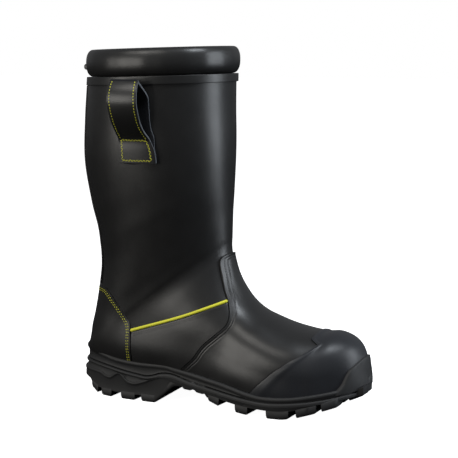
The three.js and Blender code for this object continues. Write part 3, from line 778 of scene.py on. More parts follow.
def cord():
    """Yellow piping: plaited yarn with a soft gleam."""
    return fibrous(colours().yellow, 0.5, (1300, 3, 0.6), (0.72, 1.2), 0.00015, 0.6,
                   Sheen_Weight=0.2, Sheen_Roughness=0.4)


def thread(base, roughness=0.6):
    """Sewing thread."""
    return fibrous(base, roughness, (2400, 2), (0.6, 1.25), 0.0001, 0.5)


def lining():
    """Woven lining."""
    base = colours().lining
    finish = Finish("lining", base, 0.95, Specular_IOR_Level=0.2)
    weave = finish.bands("Z", 320.0) * 0.5 + finish.bands("DIAGONAL", 300.0) * 0.5
    finish.tinted(base, weave, 0.6, 1.4)
    finish.raised(weave, 0.0003, 0.6)
    return finish


def finish_of(name):
    """A material of the boot, made once."""
    makers = {
        "leather": leather,
        "suede": suede,
        "cut edge": cut_edge,
        "toe guard": lambda: rubber(colours().guard, 0.4, 0.00004),
        "rubber": lambda: rubber(colours().rubber),
        "lining": lining,
        "piping": cord,
        "yellow thread": lambda: thread(colours().yellow),
        "black thread": lambda: thread(colours().thread, 0.5),
    }
    key = f"boot {name}"
    if key not in bpy.data.materials:
        makers[name]().material.name = key
    return bpy.data.materials[key]


# Pieces

class BOOT_OT_upper(bpy.types.Operator):
    """Hollow leather shell of foot and shaft, and the footbed in it"""

    bl_idname = "boot.upper"
    bl_label = "Upper and footbed"

    def execute(self, context):
        self.shell()
        self.footbed()
        return {"FINISHED"}

    def shell(self):
        foot = Foot()
        shares = np.linspace(-1, 1, 145)
        top = self.top_row(foot, shares)
        rows = np.concatenate([np.linspace(0, 8, 40)[:-1], np.linspace(8, LOW_ROW, 110)])
        u = np.concatenate([np.repeat(rows[:, None], len(shares), 1),
                            LOW_ROW + (top - LOW_ROW)[None] * np.linspace(0.1, 1, 10)[:, None]])
        points = form_point(u, foot.angle(u, shares[None]))
        points[0] = points[0].mean(0)
        bm = sheet(points)
        bmesh.ops.recalc_face_normals(bm, faces=bm.faces)
        face = max(bm.faces, key=lambda f: f.calc_center_median().z)
        centre = Vector((along(0.28), 0, face.calc_center_median().z))
        if face.normal.dot(face.calc_center_median() - centre) < 0:
            bmesh.ops.reverse_faces(bm, faces=bm.faces)
        shell = piece("upper_shell", bm, [finish_of("leather"), finish_of("lining")],
                      ["upper"])
        thicken(shell, sizes().wall, 0.0004, inner=1)

    def top_row(self, foot, shares):
        """u of the collar's seam at each share."""
        u = np.linspace(LOW_ROW, LAST_ROW, 81)
        points = form_point(u[None], foot.angle(u[None], shares[:, None]))
        over = points[..., 2] - seam_height(points[..., 0])
        return np.array([np.interp(0, row, u) for row in over])

    def footbed(self):
        s = sizes()
        inset = -s.wall - s.clearance
        xs = np.linspace(along(0.045), along(0.962), 90)
        z = level_of(FEATHER, xs) - s.seat_depth + s.clearance + s.insole
        edges = []
        for side in (-1, 1):
            u, angle = locate(xs, z, side)
            edges.append(skin(u, angle, np.full(len(u), inset))[:, 1])
        share = np.linspace(0, 1, 33)
        y = edges[0][:, None] + (edges[1] - edges[0])[:, None] * share
        crown = 0.0012 * (1 - (2 * share - 1) ** 2)
        points = np.stack([np.repeat(xs[:, None], 33, 1), y, z[:, None] - crown[None]], -1)
        bed = piece("footbed", sheet(points, (0, 0, 1)), [finish_of("lining")], ["insole"])
        thicken(bed, s.insole * 0.7, 0.0006)


class BOOT_OT_overlays(bpy.types.Operator):
    """Vamp, quarters, heel counter, backstay and collar band"""

    bl_idname = "boot.overlays"
    bl_label = "Leather overlays"

    def execute(self, context):
        self.vamp()
        self.counter()
        for name, side in SIDES.items():
            self.quarter(name, side)
        self.backstay()
        self.band()
        return {"FINISHED"}

    def leather(self, node, outside, thickness=None, edge=0.6):
        """Overlay from its outside, thickened down to the shell."""
        thing = piece(f"{node}_leather", outside, [finish_of("leather")], [node])
        thicken(thing, (thickness or sizes().overlay) + sizes().clearance, edge * MM)

    def vamp(self):
        s = sizes()
        foot = Foot()
        shares = np.linspace(-1, 1, 181)
        rear = foot.edge(line(VAMP_EDGE), shares)
        front = foot.edge(line(GUARD_EDGE), shares) + 0.02
        t = np.concatenate([np.linspace(0, 0.82, 40)[:-1], np.linspace(0.82, 1, 44)])[:, None]
        u = front[None] + (rear - front)[None] * t
        raised = 0.0005 * np.clip(1 - (1 - t) * 9, 0, 1) ** 2
        angle = foot.angle(u, shares[None])
        raised = raised + pressed(form_point(u, angle), VAMP_EDGE, STITCHES)
        points = skin(u, angle, s.clearance + s.overlay + raised)
        self.leather("vamp", sheet(points, (0, 0, 1)))

    def counter(self):
        s = sizes()
        x0 = along(0.224)
        directions = np.linspace(-90, 90, 91)
        ways = np.stack([-np.cos(np.radians(directions)), np.sin(np.radians(directions)),
                         np.zeros(len(directions))], -1)
        ways = np.repeat(ways[:, None], 48, 1)
        share = np.linspace(0, 1, 48)
        low, high = s.heel_seat - 0.016, float(height(1.66))
        z = np.repeat((low + (high - low) * share)[None], len(directions), 0)
        points = self.around_heel(ways, z, x0, 0)
        edge = line(COUNTER_EDGE)
        steps = crossing(points[..., [0, 2]][:, ::-1], edge)
        steps = np.where(np.isfinite(steps), steps, np.nanmax(steps))
        top = high - (high - low) * steps / 47
        bottom = np.array([np.interp(0, row[:, 2] - level_of(FEATHER, row[:, 0]) + s.seat_depth,
                                     row[:, 2]) for row in points])
        z = bottom[:, None] + (top - bottom)[:, None] * share[None]
        points = self.around_heel(ways, z, x0, s.clearance + s.overlay)
        self.leather("heel_counter", sheet(points, (-1, 0, 0)))

    def around_heel(self, ways, z, x0, offset):
        """Skin points seen from an upright axis in the heel, in given directions and heights."""
        flat_ways, flat_z = ways.reshape(-1, 3), z.ravel()
        across = np.stack([-flat_ways[:, 1], flat_ways[:, 0], 0 * flat_z], -1)
        distance = across[:, 0] * x0
        u, angle = meet([(across, distance), ((0, 0, 1), flat_z)], flat_ways, (x0, 0, 0))
        return skin(u, angle, np.full(len(u), offset)).reshape(*z.shape, 3)

    def quarter(self, name, side):
        s = sizes()
        gap = 0.0006
        top = even(line(PIPING_LINE), 80)
        top = top + [0, -s.piping_diameter / 2 - s.clearance]
        left = line(COUNTER_EDGE)
        left = left[(left[:, 1] < top[0, 1]) & (left[:, 0] > along(0.2))] + [gap, 0]
        right = line(VAMP_EDGE)
        right = right[right[:, 1] < top[-1, 1]] - [gap, 0]
        foot_z = level_of(FEATHER, left[:, 0]) - s.seat_depth
        left = np.concatenate([[[left[0, 0], top[0, 1]]], left[left[:, 1] > foot_z]])
        foot_z = level_of(FEATHER, right[:, 0]) - s.seat_depth
        right = np.concatenate([[[right[0, 0], top[-1, 1]]], right[right[:, 1] > foot_z]])
        left, right = even(left, 50), even(right, 50)
        top[0], top[-1] = left[0], right[0]
        xs = np.linspace(left[-1, 0], right[-1, 0], 80)
        bottom = np.stack([xs, level_of(FEATHER, xs) - s.seat_depth], -1)
        flat = patch(top, bottom, left, right)
        u, angle = locate(flat[..., 0], flat[..., 1], side)
        points = skin(u, angle, np.full(u.shape, s.clearance + s.overlay))
        self.leather(f"quarter_{name}", sheet(points, (0, side, 0)))

    def backstay(self):
        s = sizes()
        y = np.linspace(-s.backstay_width / 2, s.backstay_width / 2, 27)
        share = np.linspace(0, 1, 90)[:, None]
        x = np.full(27, along(0.03))
        low = np.full(27, float(height(1.63)) + 0.0005)
        high = seam_height(x) - s.band_height - s.clearance
        z = low[None] + (high - low)[None] * share
        ys = np.repeat(y[None], 90, 0)
        u, angle = meet([((0, 1, 0), ys.ravel()), ((0, 0, 1), z.ravel())], (-1, 0, 0),
                        (along(0.28), 0, 0))
        points = skin(u, angle, np.full(len(u), s.clearance + s.overlay)).reshape(90, 27, 3)
        self.leather("backstay", sheet(points, (-1, 0, 0)))

    def band(self):
        s = sizes()
        angles = np.linspace(0, 2 * math.pi, 145)[:-1]
        points = collar_rings(angles, np.linspace(0, -s.band_height, 8), s.clearance + s.band)
        self.leather("collar_band", sheet(points, (0, 1, 0), close_columns=True), s.band, 0.3)


def collar_rings(angles, drops, offset):
    """Points round the top of the shaft, at heights from the seam: (heights, angles, 3)."""
    u = np.linspace(LOW_ROW, LAST_ROW, 61)
    points = form_point(u[None], angles[:, None])
    over = points[..., 2] - seam_height(points[..., 0])
    places = np.array([[np.interp(drop, row, u) for row in over] for drop in drops])
    spread = np.repeat(np.asarray(angles)[None], len(drops), 0)
    return skin(places, spread, np.full(places.shape, offset))


def patch(top, bottom, left, right):
    """Flat four-sided patch between its sides: columns run from left to right, rows down."""
    s = np.linspace(0, 1, len(top))[None, :, None]
    t = np.linspace(0, 1, len(left))[:, None, None]
    sides = (1 - s) * left[:, None] + s * right[:, None]
    ends = (1 - t) * top[None] + t * bottom[None]
    corners = ((1 - s) * (1 - t) * top[0] + s * (1 - t) * top[-1]
               + (1 - s) * t * bottom[0] + s * t * bottom[-1])
    return sides + ends - corners


class BOOT_OT_toe(bpy.types.Operator):
    """Rubber toe guard"""

    bl_idname = "boot.toe"
    bl_label = "Toe guard"

    def execute(self, context):
        s = sizes()
        foot = Foot()
        shares = np.linspace(-1, 1, 181)
        edge = foot.edge(line(GUARD_EDGE), shares)
        t = np.linspace(0, 1, 80)[:, None]
        u = edge[None] * t ** 1.3
        bead = 0.6 * MM * np.exp(-((t - 0.965) / 0.02) ** 2)
        points = skin(u, foot.angle(u, shares[None]), s.clearance + s.toe_guard + bead + 0 * u)
        points[0] = points[0].mean(0)
        guard = piece("toe_guard_rubber", sheet(points, (0, 0, 1)), [finish_of("toe guard")],
                      ["toe_guard"])
        thicken(guard, s.toe_guard + s.clearance, 0.0008)
        return {"FINISHED"}


class BOOT_OT_collar(bpy.types.Operator):
    """Padded roll round the top, and the tab behind it"""

    bl_idname = "boot.collar"
    bl_label = "Padded collar"

    def execute(self, context):
        s = sizes()
        angles = np.linspace(0, 2 * math.pi, 241)[:-1]
        u = np.full(len(angles), float(TOP_ROW))
        turn = np.linspace(0, 2 * math.pi, 49)[:-1]
        power = 2 / 2.3
        c = np.sign(np.cos(turn)) * np.abs(np.cos(turn)) ** power
        n = np.sign(np.sin(turn)) * np.abs(np.sin(turn)) ** power
        rng = np.random.default_rng(4)
        waves = sum(rng.uniform(-1, 1) * np.cos(k * angles + rng.uniform(0, 6)) for k in (5, 9, 14, 23))
        rings = []
        for cc, nn in zip(c, n):
            out = s.collar_reach + s.collar_thickness * (cc - 1) / 2
            swell = 0.00018 * waves * max(cc, 0)
            points = skin(u, angles, out + swell)
            points[:, 0] += COLLAR_FORWARD * MM
            points[:, 2] = (seam_height(points[:, 0]) + s.clearance
                            + s.collar_height * (1 + nn) / 2)
            rings.append(points)
        bm = sheet(np.array(rings), close_rows=True, close_columns=True)
        collar = piece("collar_padded", bm, [finish_of("leather")], ["collar"])
        self.tab()
        return {"FINISHED"}

    def tab(self):
        low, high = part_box("rear_tab")
        bm = bmesh.new()
        size = high - low
        bmesh.ops.create_cube(bm, size=1, matrix=Matrix.Translation((low + high) / 2)
                              @ Matrix.Diagonal((*size, 1)))
        edges = [e for e in bm.edges if abs(e.verts[0].co.y - e.verts[1].co.y) > size.y / 2
                 and e.verts[0].co.x < low.x + size.x / 2]
        bmesh.ops.bevel(bm, geom=edges, offset=size.z * 0.45, offset_type="OFFSET", segments=5,
                        profile=0.5, affect="EDGES", material=-1)
        bmesh.ops.bevel(bm, geom=bm.edges, offset=0.0003, offset_type="OFFSET", segments=2,
                        profile=0.5, affect="EDGES", material=-1, clamp_overlap=True)
        piece("rear_tab_leather", bm, [finish_of("leather")], ["rear_tab"])


class BOOT_OT_piping(bpy.types.Operator):
    """Yellow cord along the top of each quarter"""

    bl_idname = "boot.piping"
    bl_label = "Piping"

    def execute(self, context):
        s = sizes()
        radius = s.piping_diameter / 2
        for name, side in SIDES.items():
            path, normal = side_path(PIPING_LINE, side, s.clearance + radius, spacing=0.0004)
            across = np.cross(unit(np.gradient(path, axis=0)), normal)
            turn = np.linspace(0, 2 * math.pi, 25)[:-1]
            run = distance_along(path)
            ribs = np.cos(2 * turn[None] - run[:, None] * 2 * math.pi / 0.0036) ** 2
            size = radius * (0.88 + 0.12 * ribs)
            ends = np.clip(np.minimum(run, run[-1] - run) / radius, 0, 1)
            size = size * np.sqrt(1 - (1 - ends) ** 2 * 0.98)[:, None]
            points = (path[:, None] + normal[:, None] * (size * np.cos(turn))[..., None]
                      + across[:, None] * (size * np.sin(turn))[..., None])
            points = np.concatenate([path[None, :1].repeat(len(turn), 1).reshape(1, -1, 3), points,
                                     path[None, -1:].repeat(len(turn), 1).reshape(1, -1, 3)])
            bm = sheet(points, close_columns=True)
            bmesh.ops.recalc_face_normals(bm, faces=bm.faces)
            piece(f"piping_{name}_cord", bm, [finish_of("piping")], [f"piping_{name}"])
        return {"FINISHED"}


def loop_strap(side, columns=13, steps=4):
    """Middle surface of a pull loop's strap, from its hidden end up, over the fold and down."""
    s = sizes()
    rows = blend_rows(LOOP, np.linspace(0, len(LOOP) - 1, (len(LOOP) - 1) * steps + 1))
    level, back, front, rear, fore = rows.T
    inside = s.clearance + back * s.loop_reach + s.strap / 2
    outside = s.clearance + front * s.loop_reach - s.strap / 2
    top = (inside[-1] + outside[-1]) / 2
    wide = fore + LOOP_WIDER * smooth((level - 2.6) / 0.1) * smooth((2.99 - level) / 0.1)
    path = np.concatenate([
        np.stack([level, np.minimum(inside, top), rear, wide], -1)[:-1],
        [[level[-1] + 0.004, top, rear[-1], fore[-1]]],
        np.stack([level, outside, rear, fore], -1)[:-1][::-1],
    ])
    share = np.linspace(0, 1, columns)
    x = along(path[:, 2:3] + (path[:, 3:4] - path[:, 2:3]) * share)
    z = np.repeat(height(path[:, 0])[:, None], columns, 1)
    u, angle = locate(x, z, side)
    return skin(u, angle, np.repeat(path[:, 1:2], columns, 1))


class BOOT_OT_loops(bpy.types.Operator):
    """Folded pull loops on both sides of the shaft"""

    bl_idname = "boot.loops"
    bl_label = "Pull loops"

    def execute(self, context):
        s = sizes()
        for name, side in SIDES.items():
            points = loop_strap(side)
            bm = sheet(points)
            front = max(bm.faces, key=lambda f: side * f.calc_center_median().y)
            if front.normal.y * side < 0:
                bmesh.ops.reverse_faces(bm, faces=bm.faces)
            finishes = [finish_of("leather"), finish_of("suede"), finish_of("cut edge")]
            strap = piece(f"pull_loop_{name}_strap", bm, finishes, [f"pull_loop_{name}"])
            thicken(strap, s.strap, 0.0004, inner=1, rim=2, offset=0.0)
        return {"FINISHED"}


def outline(inset, count, flare=0.0):
    """The sole's outline from above, as points (x, y), drawn in by an inset at the heel and
    another from the arch on, and let out behind the heel by a flare."""
    s = sizes()
    rows = np.array(OUTLINE)
    lateral = np.stack([along(rows[:, 0]), -rows[:, 1] * s.ball_width], -1)
    medial = np.stack([along(rows[:, 0]), rows[:, 2] * s.ball_width], -1)[::-1]
    heel, toe = [[along(0), 0]], [[along(1), TOE_TIP * s.ball_width]]
    corners = np.concatenate([heel, lateral, toe, medial])
    curve = closed_curve(corners, 40)
    curve = even(np.concatenate([curve, curve[:1]]), count + 1)[:-1]
    way = unit(np.roll(curve, -1, 0) - np.roll(curve, 1, 0))
    outward = np.stack([way[:, 1], -way[:, 0]], -1)
    back = np.maximum(0, 1 - (curve[:, 0] - along(0)) / (FLARE_LENGTH * s.sole_length))
    arch = smooth((curve[:, 0] - along(0.27)) / (along(0.34) - along(0.27)))
    heel, fore = inset
    return curve - outward * (heel + (fore - heel) * arch - flare * back)[:, None]


def closed_curve(corners, steps):
    """Smooth closed curve through corners, with no overshoot where they crowd."""
    points = []
    count = len(corners)
    t = np.linspace(0, 1, steps, endpoint=False)[:, None]
    for i in range(count):
        a, b, c, d = (corners[(i + k) % count] for k in (-1, 0, 1, 2))
        ab, bc, cd = (np.linalg.norm(q - p) ** 0.5 for p, q in ((a, b), (b, c), (c, d)))
        slope_b = ((b - a) / ab - (c - a) / (ab + bc) + (c - b) / bc) * bc
        slope_c = ((c - b) / bc - (d - b) / (bc + cd) + (d - c) / cd) * bc
        points.append(b + slope_b * t + (3 * (c - b) - 2 * slope_b - slope_c) * t ** 2
                      + (slope_b + slope_c - 2 * (c - b)) * t ** 3)
    return np.concatenate(points)


def ring_wall(rows, count=420):
    """Closed wall round the sole, from its top outside down and back up inside: rows of insets at
    the heel and from the arch on, table line, rise and flare, in millimetres."""
    points, lowest = [], math.inf
    for heel, fore, base, rise, flare in rows:
        flat = outline((heel * MM, fore * MM), count, flare * MM)
        z = level_of(base, flat[:, 0]) + rise * MM
        if fore < INSIDE:
            lowest = z = np.minimum(z, lowest - 0.05 * MM)
        points.append(np.concatenate([flat, z[:, None]], 1))
    return sheet(np.array(points), close_rows=True, close_columns=True)


class BOOT_OT_sole(bpy.types.Operator):
    """Midsole with its lip and bumper, and the lugged outsole"""

    bl_idname = "boot.sole"
    bl_label = "Sole"

    def execute(self, context):
        self.midsole()
        self.outsole()
        return {"FINISHED"}

    def midsole(self):
        """Lip with a round upper edge, and a band set back under it."""
        lip = ring_wall([
            (7.0, 7.0, FEATHER, -1.2, 0), (4.2, 4.2, FEATHER, -0.3, 0), (2.9, 2.9, FEATHER, 0, 0),
            (2.1, 2.1, FEATHER, -0.2, 0), (1.3, 1.3, FEATHER, -0.8, 0), (0.9, 0.9, FEATHER, -1.7, 0),
            (0.9, 0.9, FEATHER, -2.9, 0), (1.3, 1.2, FEATHER, -3.8, 0), (2.1, 1.8, FEATHER, -4.6, 0),
            (2.7, 2.2, FEATHER, -5.6, 0), (2.7, 2.2, MIDLINE, 1.6, 0), (2.4, 2.0, MIDLINE, 0.6, 0),
            (3.4, 3.4, MIDLINE, -0.4, 0), (9, 9, MIDLINE, -0.4, 0), (9, 9, FEATHER, -4.5, 0),
        ])
        piece("midsole_rubber_block", join([lip, self.bumper()]), [finish_of("rubber")],
              ["midsole"])

    def bumper(self):
        """Rubber over the toe guard: its lower part swells out to the lip."""
        s = sizes()
        foot = Foot()
        shares = np.linspace(-1, 1, 161)
        edge = foot.edge(line(BUMPER_EDGE), shares, 8.0)
        edge = np.convolve(np.pad(edge, 3, mode="edge"), np.full(7, 1 / 7), "valid")
        t = np.linspace(0, 1, 48)[:, None]
        u = edge[None] * t ** 1.3
        angle = foot.angle(u, shares[None])
        over_guard = s.clearance + s.toe_guard - 0.2 * MM
        rounded = np.sqrt(1 - (1 - np.clip((1 - t) * 16, 0, 1)) ** 2)
        swell = 1.5 * MM * smooth((np.abs(shares[None]) - 0.5) / 0.45)
        outer = skin(u, angle, over_guard + rounded * (s.bumper + 0.5 * MM + swell))
        outer[0] = outer[0].mean(0)
        inner = skin(u, angle, np.full(u.shape, over_guard - 0.3 * MM))
        inner[0] = inner[0].mean(0)
        return self.block([outer, inner])

    def outsole(self):
        """Rim with a round upper edge, a panel set back, and a raised wave under it."""
        rim = ring_wall([
            (9, 9, MIDLINE, -0.7, 0), (3.4, 3.4, MIDLINE, -0.7, 0), (1.5, 1.5, MIDLINE, -0.8, 0),
            (0.5, 0.6, MIDLINE, -1.3, 0), (0.1, 0.2, MIDLINE, -2.1, 0), (0.3, 0.2, MIDLINE, -3, 0),
            (1.0, 0.2, MIDLINE, -3.7, 0), (1.7, 0.2, MIDLINE, -4.2, 0), (1.9, 0.2, WAVE, 2.6, 0.3),
            (1.6, 0.3, WAVE, 2.0, 0.6), (0.2, 0.4, WAVE, 1.4, 1.0), (-0.1, 0.5, WAVE, 0.5, 1.5),
            (0.2, 0.6, WAVE, -0.4, 1.8), (0.9, 0.8, WAVE, -1.1, 2.2), (1.5, 1.1, WAVE, -2.2, 2.6),
            (1.5, 1.3, TREAD, GROOVE + 2, 3.0), (1.5, 1.5, TREAD, GROOVE, 3.0),
            (9, 9, TREAD, GROOVE, 0),
        ])
        piece("outsole_tread", join([rim, self.plate(), *self.lugs()]), [finish_of("rubber")],
              ["outsole"])

    def plate(self):
        """Underside of the outsole, between the lugs."""
        xs = np.linspace(along(0.02), along(0.985), 160)
        low, high = self.width(xs, 3.0)
        share = np.linspace(0, 1, 21)
        y = low[:, None] + (high - low)[:, None] * share
        z = np.repeat((level_of(TREAD, xs, 1) + GROOVE * MM)[:, None], 21, 1)
        bottom = np.stack([np.repeat(xs[:, None], 21, 1), y, z], -1)
        return self.block([bottom, bottom + [0, 0, 0.002]])

    def width(self, xs, inset, flare=0.0):
        """Y of the sole's lateral and medial edge at places x."""
        flat = outline((inset * MM, inset * MM), 900, flare * MM)
        result = []
        for side in SIDES.values():
            near = np.abs(flat[None, :, 0] - xs[:, None]) < 2.5 * MM
            result.append(side * np.where(near, flat[None, :, 1] * side, 0.001).max(1))
        return result

    def lugs(self):
        """Chevron rows of lugs, three to a row, and the ribbed arch between heel and forefoot."""
        blocks = [self.lug(*along(ARCH), None, 60)]
        for start, end in (HEEL_ROWS, FOREFOOT_ROWS):
            cuts = [g for g in GROOVES if start < g[0] < end]
            bounds = zip([start] + [g[1] for g in cuts], [g[0] for g in cuts] + [end])
            for first, last in bounds:
                for column in (-1, 0, 1):
                    blocks.append(self.lug(float(along(first)), float(along(last)), column))
        return [b for b in blocks if b]

    def lug(self, x0, x1, column, steps=9):
        """One lug: left, middle or right of its row, or right across (None)."""
        a, b = np.meshgrid(np.linspace(0, 1, steps), np.linspace(0, 1, 9), indexing="ij")
        channel, far = CHANNEL[0] * MM, CHANNEL[1] * MM
        rings = []
        for outer, inset, rise in ((2.4, 0, GROOVE + 1), (1.5, 0, GROOVE), (1.4, 0.3, 3),
                                   (1.9, 0.8, 0.7), (2.6, 1.5, 0)):
            step = inset * MM * (column is not None)
            x = x0 + step + (x1 - x0 - 2 * step) * a
            low, high = self.width(np.linspace(x0, x1, steps), outer, 3.0)
            if column is None:
                y = low[:, None] + (high - low)[:, None] * b
            elif column == 0:
                y = (channel - step) * (2 * b - 1)
            else:
                edge = (low if column < 0 else high)[:, None]
                near = column * (far + step)
                if (np.abs(edge) < abs(near) + 2 * MM).any():
                    return None
                y = near + (edge - near) * b
            if column is not None:
                x = x + CHEVRON * MM * (1 - 2 * np.abs(y) / sizes().ball_width)
            z = level_of(TREAD, x.ravel(), 1).reshape(x.shape) + rise * MM
            rings.append(np.stack([x, y, z], -1))
        return self.block(rings)

    def block(self, rings):
        """Closed block from stacked grids: the rims are joined, top and bottom are kept."""
        def rim(g):
            return np.concatenate([g[:-1, 0], g[-1, :-1], g[:0:-1, -1], g[0, :0:-1]])
        wall = sheet(np.array([rim(g) for g in rings]), close_columns=True)
        bm = join([wall, sheet(rings[-1]), sheet(rings[0])])
        bmesh.ops.remove_doubles(bm, verts=bm.verts, dist=1e-6)
        bmesh.ops.recalc_face_normals(bm, faces=bm.faces)
        return bm


class BOOT_OT_stitching(bpy.types.Operator):
    """Rows of stitches on counter, vamp, quarters, collar band and pull loops"""

    bl_idname = "boot.stitching"
    bl_label = "Stitching"

    def execute(self, context):
        self.yellow()
        self.black()
        return {"FINISHED"}

    def yellow(self):
        s = sizes()
        rows = []
        for side in SIDES.values():
            for shift in (-2.6, -4.6):
                path, normal = side_path(COUNTER_EDGE, side, s.clearance + s.overlay, shift * MM,
                                         0.15, 0.93)
                rows.append(stitch_row(path, normal, s.stitch_length, s.thread * 0.8,
                                       slant=0.0003))
            rows += self.loop_rows(side)
        piece("yellow_stitches", join(rows), [finish_of("yellow thread")])

    def loop_rows(self, side):
        """Rows along a pull loop's edges, and the box that holds its patch."""
        s = sizes()
        strap = loop_strap(side)
        rows, columns = strap.shape[:2]
        normal = unit(np.cross(np.gradient(strap, axis=0), np.gradient(strap, axis=1)))
        if normal[rows * 3 // 4, columns // 2, 1] * side < 0:
            normal = -normal
        face = strap + normal * s.strap / 2
        fold = rows // 2 - 5
        heights = strap[rows // 2:, 0, 2]
        low, high = height(2.548), height(2.663)
        bottom, top = (rows // 2 + np.interp(-z, -heights, np.arange(len(heights)))
                       for z in (low, high))
        made = []
        for share in (0.09, 0.91):
            path, ups = on_strap(face, normal, np.linspace(fold, top - 1, 90),
                                 np.full(90, share * (columns - 1)))
            made.append(stitch_row(path, ups, s.stitch_length, s.thread, slant=0.0002))
        left, right = 0.1 * (columns - 1), 0.88 * (columns - 1)
        box = [(top, left), (top, right), (bottom, right), (bottom, left), (top, left)]
        for (r0, c0), (r1, c1) in zip(box[:-1], box[1:]):
            path, ups = on_strap(face, normal, np.linspace(r0, r1, 40), np.linspace(c0, c1, 40))
            made.append(zigzag_row(path, ups, s.stitch_length * 0.6, s.thread * 0.75, 0.0011))
        return made

    def black(self):
        s = sizes()
        face = s.clearance + s.overlay
        foot = Foot()
        rows = [self.edge_row(foot, shift, face - 0.2 * MM) for shift in STITCHES]
        for side in SIDES.values():
            for shift in (-3.9, -5.6):
                path, normal = side_path(PIPING_LINE, side, face, shift * MM, 0.02, 0.97)
                rows.append(stitch_row(path, normal, s.stitch_length, s.thread * 0.8))
        angles = np.linspace(0, 2 * math.pi, 361)
        ups = form_normal(np.full(len(angles), float(TOP_ROW)), angles)
        for drop in (-2.7, -5.4):
            ring = collar_rings(angles, [drop * MM], s.clearance + s.band)[0]
            rows.append(zigzag_row(ring, ups, s.stitch_length * 0.7, s.thread * 0.8, 0.0008))
        piece("black_stitches", join(rows), [finish_of("black thread")])

    def edge_row(self, foot, shift, offset):
        """Stitches in front of the vamp's edge, which crosses the ridge."""
        s = sizes()
        shares = np.linspace(-0.995, 0.995, 400)
        places = foot.edge(shifted(line(VAMP_EDGE), shift * MM), shares)
        angle = foot.angle(places, shares)
        path = skin(places, angle, np.full(len(places), offset))
        return stitch_row(path, form_normal(places, angle), s.stitch_length, s.thread * 0.9)


def on_strap(face, normal, r, c):
    """Points and normals of a strap at rows r and columns c."""
    i = np.clip(r.astype(int), 0, len(face) - 2)
    j = np.clip(c.astype(int), 0, face.shape[1] - 2)
    f, g = (r - i)[:, None], (c - j)[:, None]
    return [(1 - f) * (1 - g) * v[i, j] + f * (1 - g) * v[i + 1, j]
            + (1 - f) * g * v[i, j + 1] + f * g * v[i + 1, j + 1] for v in (face, normal)]


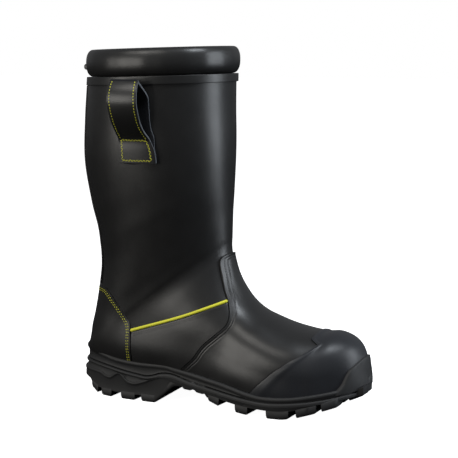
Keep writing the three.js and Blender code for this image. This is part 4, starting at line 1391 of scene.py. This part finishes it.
class BOOT_OT_stage(bpy.types.Operator):
    """Pale floor, soft studio lights and the camera"""

    bl_idname = "boot.stage"
    bl_label = "Stage and camera"

    def execute(self, context):
        self.floor()
        self.world()
        self.lights()
        self.camera()
        return {"FINISHED"}

    def floor(self):
        """White floor that only the camera sees, and dark ground that the boot reflects."""
        floor = self.plane("floor", 0, Finish("studio floor", colours().floor, 0.9,
                                              Emission_Color=(1, 1, 1, 1), Emission_Strength=0.97))
        floor.visible_glossy = False
        floor.visible_diffuse = False
        ground = self.plane("ground", -1 * MM, Finish("dark ground", (0.02, 0.02, 0.02), 1.0))
        ground.visible_camera = False

    def plane(self, name, z, finish):
        bm = bmesh.new()
        bmesh.ops.create_grid(bm, x_segments=1, y_segments=1, size=12)
        bmesh.ops.translate(bm, verts=bm.verts, vec=(0, 0, z))
        mesh = bpy.data.meshes.new(name)
        bm.to_mesh(mesh)
        bm.free()
        thing = bpy.data.objects.new(name, mesh)
        bpy.context.collection.objects.link(thing)
        mesh.materials.append(finish.material)
        return thing

    def world(self):
        """White to the camera, dimmer as a light."""
        scene = bpy.context.scene
        scene.view_settings.view_transform = "Standard"
        scene.world = scene.world or bpy.data.worlds.new("studio")
        scene.world.use_nodes = True
        tree = scene.world.node_tree
        white = tree.nodes["Background"]
        white.inputs["Color"].default_value = (1, 1, 1, 1)
        dim = tree.nodes.new("ShaderNodeBackground")
        dim.inputs["Color"].default_value = (0.95, 0.97, 1, 1)
        dim.inputs["Strength"].default_value = 0.2
        seen = tree.nodes.new("ShaderNodeLightPath")
        mix = tree.nodes.new("ShaderNodeMixShader")
        tree.links.new(seen.outputs["Is Camera Ray"], mix.inputs[0])
        tree.links.new(dim.outputs[0], mix.inputs[1])
        tree.links.new(white.outputs[0], mix.inputs[2])
        tree.links.new(mix.outputs[0], tree.nodes["World Output"].inputs["Surface"])

    def lights(self):
        cool, warm = (0.88, 0.94, 1), (1, 0.97, 0.91)
        for lamp in (
            ("right window", 15, 10, 1.5, (0.7, 1.2), 14, cool),
            ("left box", -122, 5, 1.4, (0.9, 0.5), 6.5, warm),
            ("top left box", -110, 48, 1.4, (0.7, 0.5), 5, warm),
            ("top right box", -12, 58, 1.4, (0.4, 0.4), 9, cool),
        ):
            self.light(*lamp)

    def light(self, name, azimuth, elevation, distance, size, power, colour):
        """Soft box in a direction from the boot, in degrees from the toe and from the floor."""
        flat, up = math.radians(azimuth), math.radians(elevation)
        way = Vector((math.cos(flat) * math.cos(up), math.sin(flat) * math.cos(up), math.sin(up)))
        data = bpy.data.lights.new(name, "AREA")
        data.shape = "RECTANGLE"
        data.size, data.size_y = size
        data.energy = power
        data.color = colour
        lamp = bpy.data.objects.new(name, data)
        lamp.location = Vector(LIGHT_AIM) + way * distance
        lamp.rotation_euler = way.to_track_quat("Z", "Y").to_euler()
        bpy.context.collection.objects.link(lamp)

    def camera(self):
        """Long lens, level with the collar, 23 degrees round from the side towards the toe."""
        view, distance, eye_height = math.radians(23), 1.29, 0.354
        turn, pitch = math.radians(22.77), math.radians(8)
        focal, picture = 1310, 458
        data = bpy.data.cameras.new("camera")
        data.sensor_width = 36
        data.lens = data.sensor_width * focal / picture
        camera = bpy.data.objects.new("camera", data)
        camera.location = (0.0831 + distance * math.sin(view), -distance * math.cos(view), eye_height)
        camera.rotation_euler = (math.pi / 2 - pitch, 0, turn)
        bpy.context.collection.objects.link(camera)
        bpy.context.scene.camera = camera


OPERATORS = [BOOT_OT_stage, BOOT_OT_upper, BOOT_OT_overlays, BOOT_OT_toe, BOOT_OT_collar,
             BOOT_OT_piping, BOOT_OT_loops, BOOT_OT_sole, BOOT_OT_stitching]


class BOOT_PT_panel(bpy.types.Panel):
    """Lists the boot's pieces"""

    bl_idname = "BOOT_PT_panel"
    bl_label = "Firefighter Boot"
    bl_space_type = "VIEW_3D"
    bl_region_type = "UI"
    bl_category = "Boot"

    def draw(self, context):
        for operator in OPERATORS:
            self.layout.operator(operator.bl_idname)
        for group in (context.scene.boot_sizes, context.scene.boot_colours):
            box = self.layout.box()
            for name in group.bl_rna.properties.keys():
                if name not in ("rna_type", "name"):
                    box.prop(group, name)


CLASSES = [BootSizes, BootColours, *OPERATORS, BOOT_PT_panel]


def register():
    for cls in CLASSES:
        bpy.utils.register_class(cls)
    bpy.types.Scene.boot_sizes = PointerProperty(type=BootSizes)
    bpy.types.Scene.boot_colours = PointerProperty(type=BootColours)


def unregister():
    del bpy.types.Scene.boot_colours
    del bpy.types.Scene.boot_sizes
    for cls in reversed(CLASSES):
        bpy.utils.unregister_class(cls)


def main():
    register()
    for operator in OPERATORS:
        group, name = operator.bl_idname.split(".")
        getattr(getattr(bpy.ops, group), name)()


if __name__ == "__main__":
    main()
